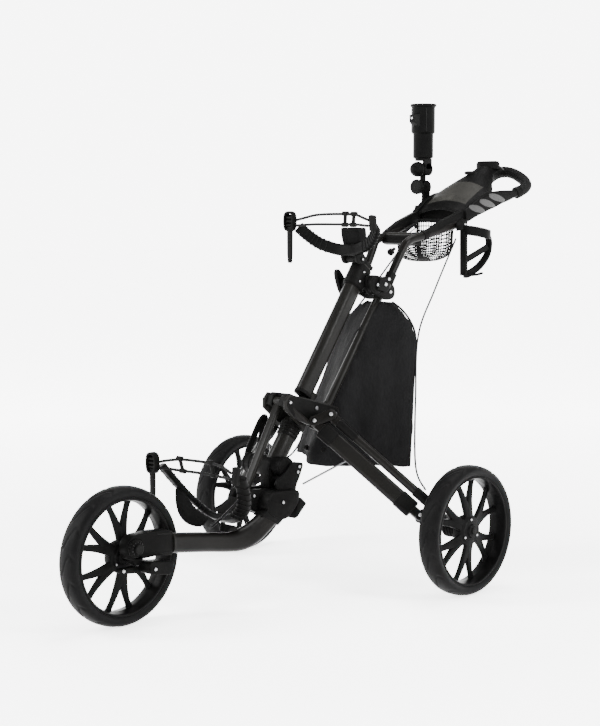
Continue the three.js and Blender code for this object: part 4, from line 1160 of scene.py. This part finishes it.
def mesh_basket():
    """Open netting hung from a bound rim under the handle rails."""
    rim_path = [(-38, 226, 797), (0, 224, 796), (38, 226, 797), (47, 270, 808), (55, 320, 828),
                (53, 334, 834), (0, 336, 834), (-53, 334, 834), (-55, 320, 828), (-47, 270, 808)]
    rim_loop = catmull(rim_path, 10, closed=True)
    net_loop = catmull(rim_path, 7, closed=True)
    centre = Vector((0, 283, 733))
    net = Piece("mesh_basket_net", "handle", NETTING)
    rings = []
    levels = 15
    for i in range(levels + 1):
        t = i / levels
        shrink = 1 - 0.10 * t - 0.82 * max(0.0, (t - 0.45) / 0.55) ** 1.7
        rings.append([net.vert((centre[0] + (x - centre[0]) * shrink, centre[1] + (y - centre[1]) * shrink,
                                z + (centre[2] - z) * math.sin(t * math.pi / 2) ** 0.9))
                      for x, y, z in net_loop])
    count = len(net_loop)
    for i in range(levels):
        for j in range(count):
            k = (j + 1) % count
            net.mesh.faces.new((rings[i][j], rings[i][k], rings[i + 1][k], rings[i + 1][j]))
    net.mesh.faces.new(rings[-1])
    bmesh.ops.wireframe(net.mesh, faces=net.mesh.faces[:], thickness=2.8 * MM, use_replace=True,
                        use_even_offset=True, use_relative_offset=False, offset=0.5)
    net.finish("mesh_basket", smooth=60)
    binding = Piece("mesh_basket_binding", "handle", CLOTH)
    binding.sweep(rim_loop, round_section(2.6, 9, 1.2), (0, 0, 1), closed=True)
    for x, y, z in ((-38, 226, 797), (38, 226, 797), (-55, 320, 826), (55, 320, 826)):
        binding.sweep([(x * 0.98, y, z - 8), (x * 1.12, y, z + 4)], round_section(10, 2, 0.9), (0, 1, 0))
    binding.finish(bevel=0.4)


def bottle_cage():
    piece = Piece("bottle_cage_finish", "handle", PLASTIC)
    piece.sweep([(103, 312, 824), (103, 313, 760), (103, 314, 700)], round_section(20, 9, 3), (0, 1, 0))
    band = catmull([(103, 312, 812), (128, 312, 810), (142, 330, 806), (146, 350, 802), (140, 368, 800),
                    (126, 378, 800)], 8)
    piece.sweep(band, round_section(7, 24, 3), (0, 0, 1))
    outer = catmull([(126, 376, 802), (130, 380, 780), (128, 374, 750), (120, 352, 722), (108, 326, 704),
                     (103, 316, 702)], 8)
    piece.sweep(outer, round_section(18, 8, 3), (0, 1, 0.4))
    piece.sweep([(103, 314, 735), (130, 374, 770)], round_section(7, 15, 2.4), (0, 0, 1))
    piece.sweep(catmull([(98, 310, 703), (112, 322, 701), (124, 338, 702), (132, 350, 706)], 6),
                round_section(16, 5, 2), (0, 0, 1))
    piece.finish("bottle_cage", bevel=0.4, smooth=45)
    clamp = Piece("bottle_cage_clamp", "handle", PLASTIC)
    clamp.hull([(88, 300, 808), (88, 322, 812), (108, 300, 812), (108, 322, 816), (88, 300, 832),
                (88, 322, 838), (108, 304, 834), (108, 322, 838)])
    clamp.finish(bevel=2.4, segments=3)
    bolts("bottle_cage_bolt", "handle", [((107.6, 312, 824), (1, 0, 0))], 4.4)


# ------------------------------------------------------------------ umbrella holder

POST_X = -108
LOW_BALL = (413, 921)
TOP_BALL = (414, 966)


def knurled(piece, centre, radius, near, far, teeth=16):
    """Gripping knob that points along -Y from near to far."""
    profile = [(0.5, near), (radius - 1.5, near), (radius, near - 1.5), (radius, far + 2), (radius - 2, far),
               (0.5, far - 0.6)]
    piece.turned(profile, centre, 64, "Y")
    for k in range(teeth):
        a = 2 * math.pi * k / teeth
        x, z = centre[0] + (radius - 0.6) * math.sin(a), centre[2] + (radius - 0.6) * math.cos(a)
        piece.rod((x, centre[1] + near - 2, z), (x, centre[1] + far + 2.5, z), 1.5, 8)


def umbrella():
    clamp = Piece("umbrella_clamp_finish", "handle", PLASTIC)
    clamp.hull([(-102, 400, 868), (-95, 400, 868), (-102, 426, 876), (-95, 426, 876), (-99, 398, 912),
                (-94, 398, 914), (-99, 428, 928), (-94, 428, 928)])
    clamp.cross(LOW_BALL, POST_X + 8, -92, 16.5, 40)
    clamp.finish("umbrella_clamp", bevel=1.6, segments=3)
    bolts("umbrella_clamp_bolt", "handle", [((-101, 409, 888), (-1, 0, 0))], 3.6)
    joint = Piece("umbrella_joint_finish", "umbrella_joint", PLASTIC)
    joint.cross(LOW_BALL, POST_X - 10, POST_X + 7.7, 17, 40)
    joint.cross(TOP_BALL, POST_X - 10, POST_X + 7.7, 16, 40)
    joint.sweep([(POST_X, *LOW_BALL), (POST_X, *TOP_BALL)], circle(7.7, 24), (1, 0, 0))
    joint.finish("umbrella_joint", bevel=1.2, segments=3)
    y, z = LOW_BALL
    dial = Piece("umbrella_dial_finish", "umbrella_dial", PLASTIC)
    knurled(dial, (POST_X, y, z), 18.6, -17.5, -30)
    dial.turned([(9.5, -29), (11, -31), (13.5, -31), (15, -29)], (POST_X, y, z), 48, "Y")
    dial.finish("umbrella_dial", smooth=35)
    y, z = TOP_BALL
    knob = Piece("umbrella_knob_finish", "umbrella_knob", PLASTIC)
    knob.turned([(0.5, -16.5), (17.5, -16.5), (19.3, -18.5), (19.5, -22), (18.8, -27), (16.8, -32.5),
                 (13, -38), (8, -42), (3.5, -43.8), (0.5, -44)], (POST_X, y, z), 56, "Y")
    knob.finish("umbrella_knob", smooth=50)
    base = z + 28
    socket = Piece("umbrella_socket_finish", "umbrella_socket", PLASTIC)
    profile = [(20, 0), (22.5, 0), (25, 1.5), (26, 4), (26, 61), (26.6, 63), (29.4, 65), (30, 67), (30, 130),
               (31, 131.5), (33.2, 132.5), (33.5, 134), (33.5, 137.5), (32.5, 139), (21.5, 139), (20, 137)]
    socket.turned(profile, (POST_X, y, base), 72, "Z")
    socket.rod((POST_X, y, base - 6), (POST_X, y, base + 8), 20, 40, 22)
    socket.cross(TOP_BALL, POST_X + 8, POST_X + 20, 16, 40)
    socket.hull([(POST_X + x, y + s * 12, h) for x in (8, 20) for s in (-1, 1) for h in (z, base - 1)])
    socket.hull([(POST_X + s * 12, y - 26, base + h) for s in (-1, 1) for h in (78, 112)]
                + [(POST_X + s * 9, y - 46, base + h) for s in (-1, 1) for h in (92, 110)])
    socket.finish("umbrella_socket", bevel=1.0, smooth=35)
    for name, x in (("left", -24), ("right", 24)):
        rib = Piece(f"umbrella_socket_rib_{name}", "umbrella_socket", PLASTIC)
        rib.rod((POST_X + x, y - 17.5, base + 68), (POST_X + x, y - 17.5, base + 128), 1.4, 10)
        rib.finish(smooth=60)
    bolts("umbrella_socket_screw", "umbrella_socket", [((POST_X, y - 46, base + 101), (0, -1, 0))], 3.2)


# ------------------------------------------------------------------ cloth bag and cords

# Level, front y, front half width, middle y and half width, rear y, rear half width.
BAG_LEVELS = [(640, 111, 20, 114, 32, 118, 38), (624, 96, 16, 106, 44, 116, 68),
              (598, 74, 12, 94, 60, 113, 97), (570, 50, 9, 82, 72, 108, 116),
              (538, 24, 8, 68, 78, 100, 124), (470, -16, 9, 42, 86, 80, 136),
              (400, -56, 11, 16, 96, 56, 152), (340, -90, 16, -8, 106, 36, 165),
              (296, -112, 24, -22, 112, 24, 172), (268, -112, 29, -28, 112, 17, 176)]


def storage_bag():
    """Cloth pouch that hangs from the bar top and two corner eyelets, sagging in soft folds."""
    rings = []
    rows = catmull(BAG_LEVELS, 7)
    for row, (level, y0, x0, y1, x1, y2, x2) in enumerate(rows):
        t = row / (len(rows) - 1)
        outline = catmull([(-x0, y0), (x0, y0), (x1, y1), (x2 * 0.97, y2 - 9), (x2, y2),
                           (x2 * 0.5, y2 + 3 - 5 * t), (0, y2 + 2 - 9 * math.sin(math.pi * t)),
                           (-x2 * 0.5, y2 + 3 - 5 * t), (-x2, y2), (-x2 * 0.97, y2 - 9), (-x1, y1)], 9,
                          closed=True)
        ring = []
        for x, y in outline:
            folds = noise.noise(Vector((x * 0.020 + 3, y * 0.020, level * 0.006)))
            creases = noise.noise(Vector((x * 0.055, y * 0.055 + 7, level * 0.016)))
            way = Vector((x, y - y1 * 0.6)).normalized() if abs(x) + abs(y) > 1 else Vector((0, 1))
            reach = (7.0 * folds + 5.0 * creases) * math.sin(math.pi * min(1, t + 0.08)) ** 0.7
            ring.append((x + way.x * (reach - 3), y + way.y * (reach - 3), level + 3 * creases * t))
        rings.append(ring)
    piece = Piece("storage_bag_cloth", HUNG, CLOTH)
    piece.skin(rings)
    top = [face for face in piece.mesh.faces if all(v.co.z > (rings[0][0][2] - 6) * MM for v in face.verts)
           and len(face.verts) > 4]
    bmesh.ops.delete(piece.mesh, geom=top, context="FACES_ONLY")
    bmesh.ops.recalc_face_normals(piece.mesh, faces=piece.mesh.faces)
    area = sum(face.calc_area() for face in piece.mesh.faces)
    bmesh.ops.solidify(piece.mesh, geom=piece.mesh.faces[:], thickness=1.4 * MM)
    made = piece.finish("storage_bag", smooth=80)
    hem = Piece("storage_bag_hem", HUNG, CLOTH)
    for side in (-1, 1):
        path = [flip(side, (x2 + 0.5, y2 + 1, level)) for level, _, _, _, _, y2, x2 in rows]
        hem.sweep(path, round_section(3.2, 6.5, 1.5), (0, 1, 0))
    hem.finish(bevel=0.3, smooth=60)
    eyelets = Piece("storage_bag_eyelets", HUNG, STEEL)
    for side in (-1, 1):
        ring = [(3.2, -1.6), (6.2, -1.6), (6.8, 0), (6.2, 1.6), (3.2, 1.6)]
        eyelets.turned(ring, (side * 110, 108, 552), 32, "Y")
    eyelets.finish(smooth=50)
    snaps = Piece("storage_bag_snaps", "hub", PLASTIC)
    for side in (-1, 1):
        snaps.cross((-114, 306), side * 23, side * 29, 6, 24)
    snaps.finish(bevel=0.9)


def cords():
    for name, side in SIDES:
        half = [(76, 316, 790), (99, 205, 668), (120, 118, 566), (150, 72, 430), (190, 24, 272),
                (250, -14, 226)]
        piece = Piece(f"{name}_cord_finish", HUNG, CORD)
        path = catmull([flip(side, p) for p in half], 10)
        piece.sweep(path, circle(2.2, 12))
        piece.finish(f"{name}_cord", smooth=60)


# ------------------------------------------------------------------ floor, light and camera

# Strength of the white world behind the object, and of the floor's own glow under it and far from it,
# so that the floor fades into the backdrop without a horizon. Lengths here are in metres.
BACKDROP = 7.5
NEAR_GLOW, FAR_GLOW = 2.6, 6.0
NEAR_FLOOR, FAR_FLOOR, FLOOR_REACH = 0.8, 3.2, 30
AIM = (0, 0, 0.45)
# Name, place, power in watts, width and height of each lamp.
LAMPS = (("key", (-2.4, -3.0, 2.9), 380, 1.0, 2.6), ("side", (3.3, 0.4, 2.4), 260, 0.7, 2.4),
         ("overhead", (0.2, 0.6, 3.6), 210, 2.4, 1.6))
# The photo's viewpoint: focal length in mm, tilt down and turn from straight ahead in degrees.
FOCAL, TILT, TURN = 77.03, 5.289, 43.32
VIEWPOINT = (2.435, -2.746 + ORIGIN_Y * MM, 0.838)


def floor():
    mesh = bpy.data.meshes.new("floor")
    corners = [(a * FLOOR_REACH, b * FLOOR_REACH, 0) for a, b in ((-1, -1), (1, -1), (1, 1), (-1, 1))]
    mesh.from_pydata(corners, [], [(0, 1, 2, 3)])
    n = Nodes("studio_floor")
    n.link(n.ramp(n.noise(3, 2), [(0.3, grey(0.92)), (0.7, grey(0.94))]),
           n.shader.inputs["Base Color"])
    n.shader.inputs["Roughness"].default_value = 0.8
    n.shader.inputs["Specular IOR Level"].default_value = 0.1
    n.shader.inputs["Emission Color"].default_value = (1, 1, 1, 1)
    distance = n.new("ShaderNodeVectorMath", operation="LENGTH")
    n.link(n.where, distance.inputs[0])
    glow = n.new("ShaderNodeMapRange")
    glow.inputs["From Min"].default_value = NEAR_FLOOR
    glow.inputs["From Max"].default_value = FAR_FLOOR
    glow.inputs["To Min"].default_value = NEAR_GLOW
    glow.inputs["To Max"].default_value = FAR_GLOW
    n.link(distance.outputs["Value"], glow.inputs["Value"])
    n.link(glow.outputs["Result"], n.shader.inputs["Emission Strength"])
    mesh.materials.append(n.material)
    made = bpy.data.objects.new("floor", mesh)
    bpy.context.scene.collection.objects.link(made)


def backdrop():
    world = bpy.data.worlds.new("studio")
    world.use_nodes = True
    tree = world.node_tree
    where = tree.nodes.new("ShaderNodeTexCoord")
    split = tree.nodes.new("ShaderNodeSeparateXYZ")
    ramp = tree.nodes.new("ShaderNodeValToRGB")
    tree.links.new(where.outputs["Generated"], split.inputs["Vector"])
    tree.links.new(split.outputs["Z"], ramp.inputs["Fac"])
    tree.links.new(ramp.outputs["Color"], tree.nodes["Background"].inputs["Color"])
    ramp.color_ramp.elements[0].position = 0.16
    ramp.color_ramp.elements[0].color = (1, 1, 1, 1)
    ramp.color_ramp.elements[1].position = 0.42
    ramp.color_ramp.elements[1].color = (0.10, 0.10, 0.10, 1)
    tree.nodes["Background"].inputs["Strength"].default_value = BACKDROP
    bpy.context.scene.world = world


def lamps():
    for name, place, power, wide, tall in LAMPS:
        light = bpy.data.lights.new(name, "AREA")
        light.energy = power
        light.shape = "RECTANGLE"
        light.size = wide
        light.size_y = tall
        made = bpy.data.objects.new(name, light)
        made.location = place
        made.rotation_euler = (Vector(AIM) - Vector(place)).to_track_quat("-Z", "Y").to_euler()
        bpy.context.scene.collection.objects.link(made)


def camera():
    lens = bpy.data.cameras.new("camera")
    lens.lens = FOCAL
    lens.sensor_width = 36
    lens.clip_end = 100
    made = bpy.data.objects.new("camera", lens)
    made.location = VIEWPOINT
    made.rotation_euler = (math.radians(90 - TILT), 0, math.radians(TURN))
    bpy.context.scene.collection.objects.link(made)
    bpy.context.scene.camera = made


floor()
backdrop()
lamps()
camera()
wheels()
hub()
mast()
rear_bar()
knuckle()
lower_tube()
carry_loop()
front_link()
front_arm()
arm_end()
tracking_knob()
brake_pedal()
for leg_name, leg_side in SIDES:
    leg(leg_name, leg_side)
lower_cradle()
upper_cradle()
handle_frame()
console_shell()
console_lid()
console_windows()
rear_cap()
grip_loop()
mesh_basket()
bottle_cage()
umbrella()
storage_bag()
cords()
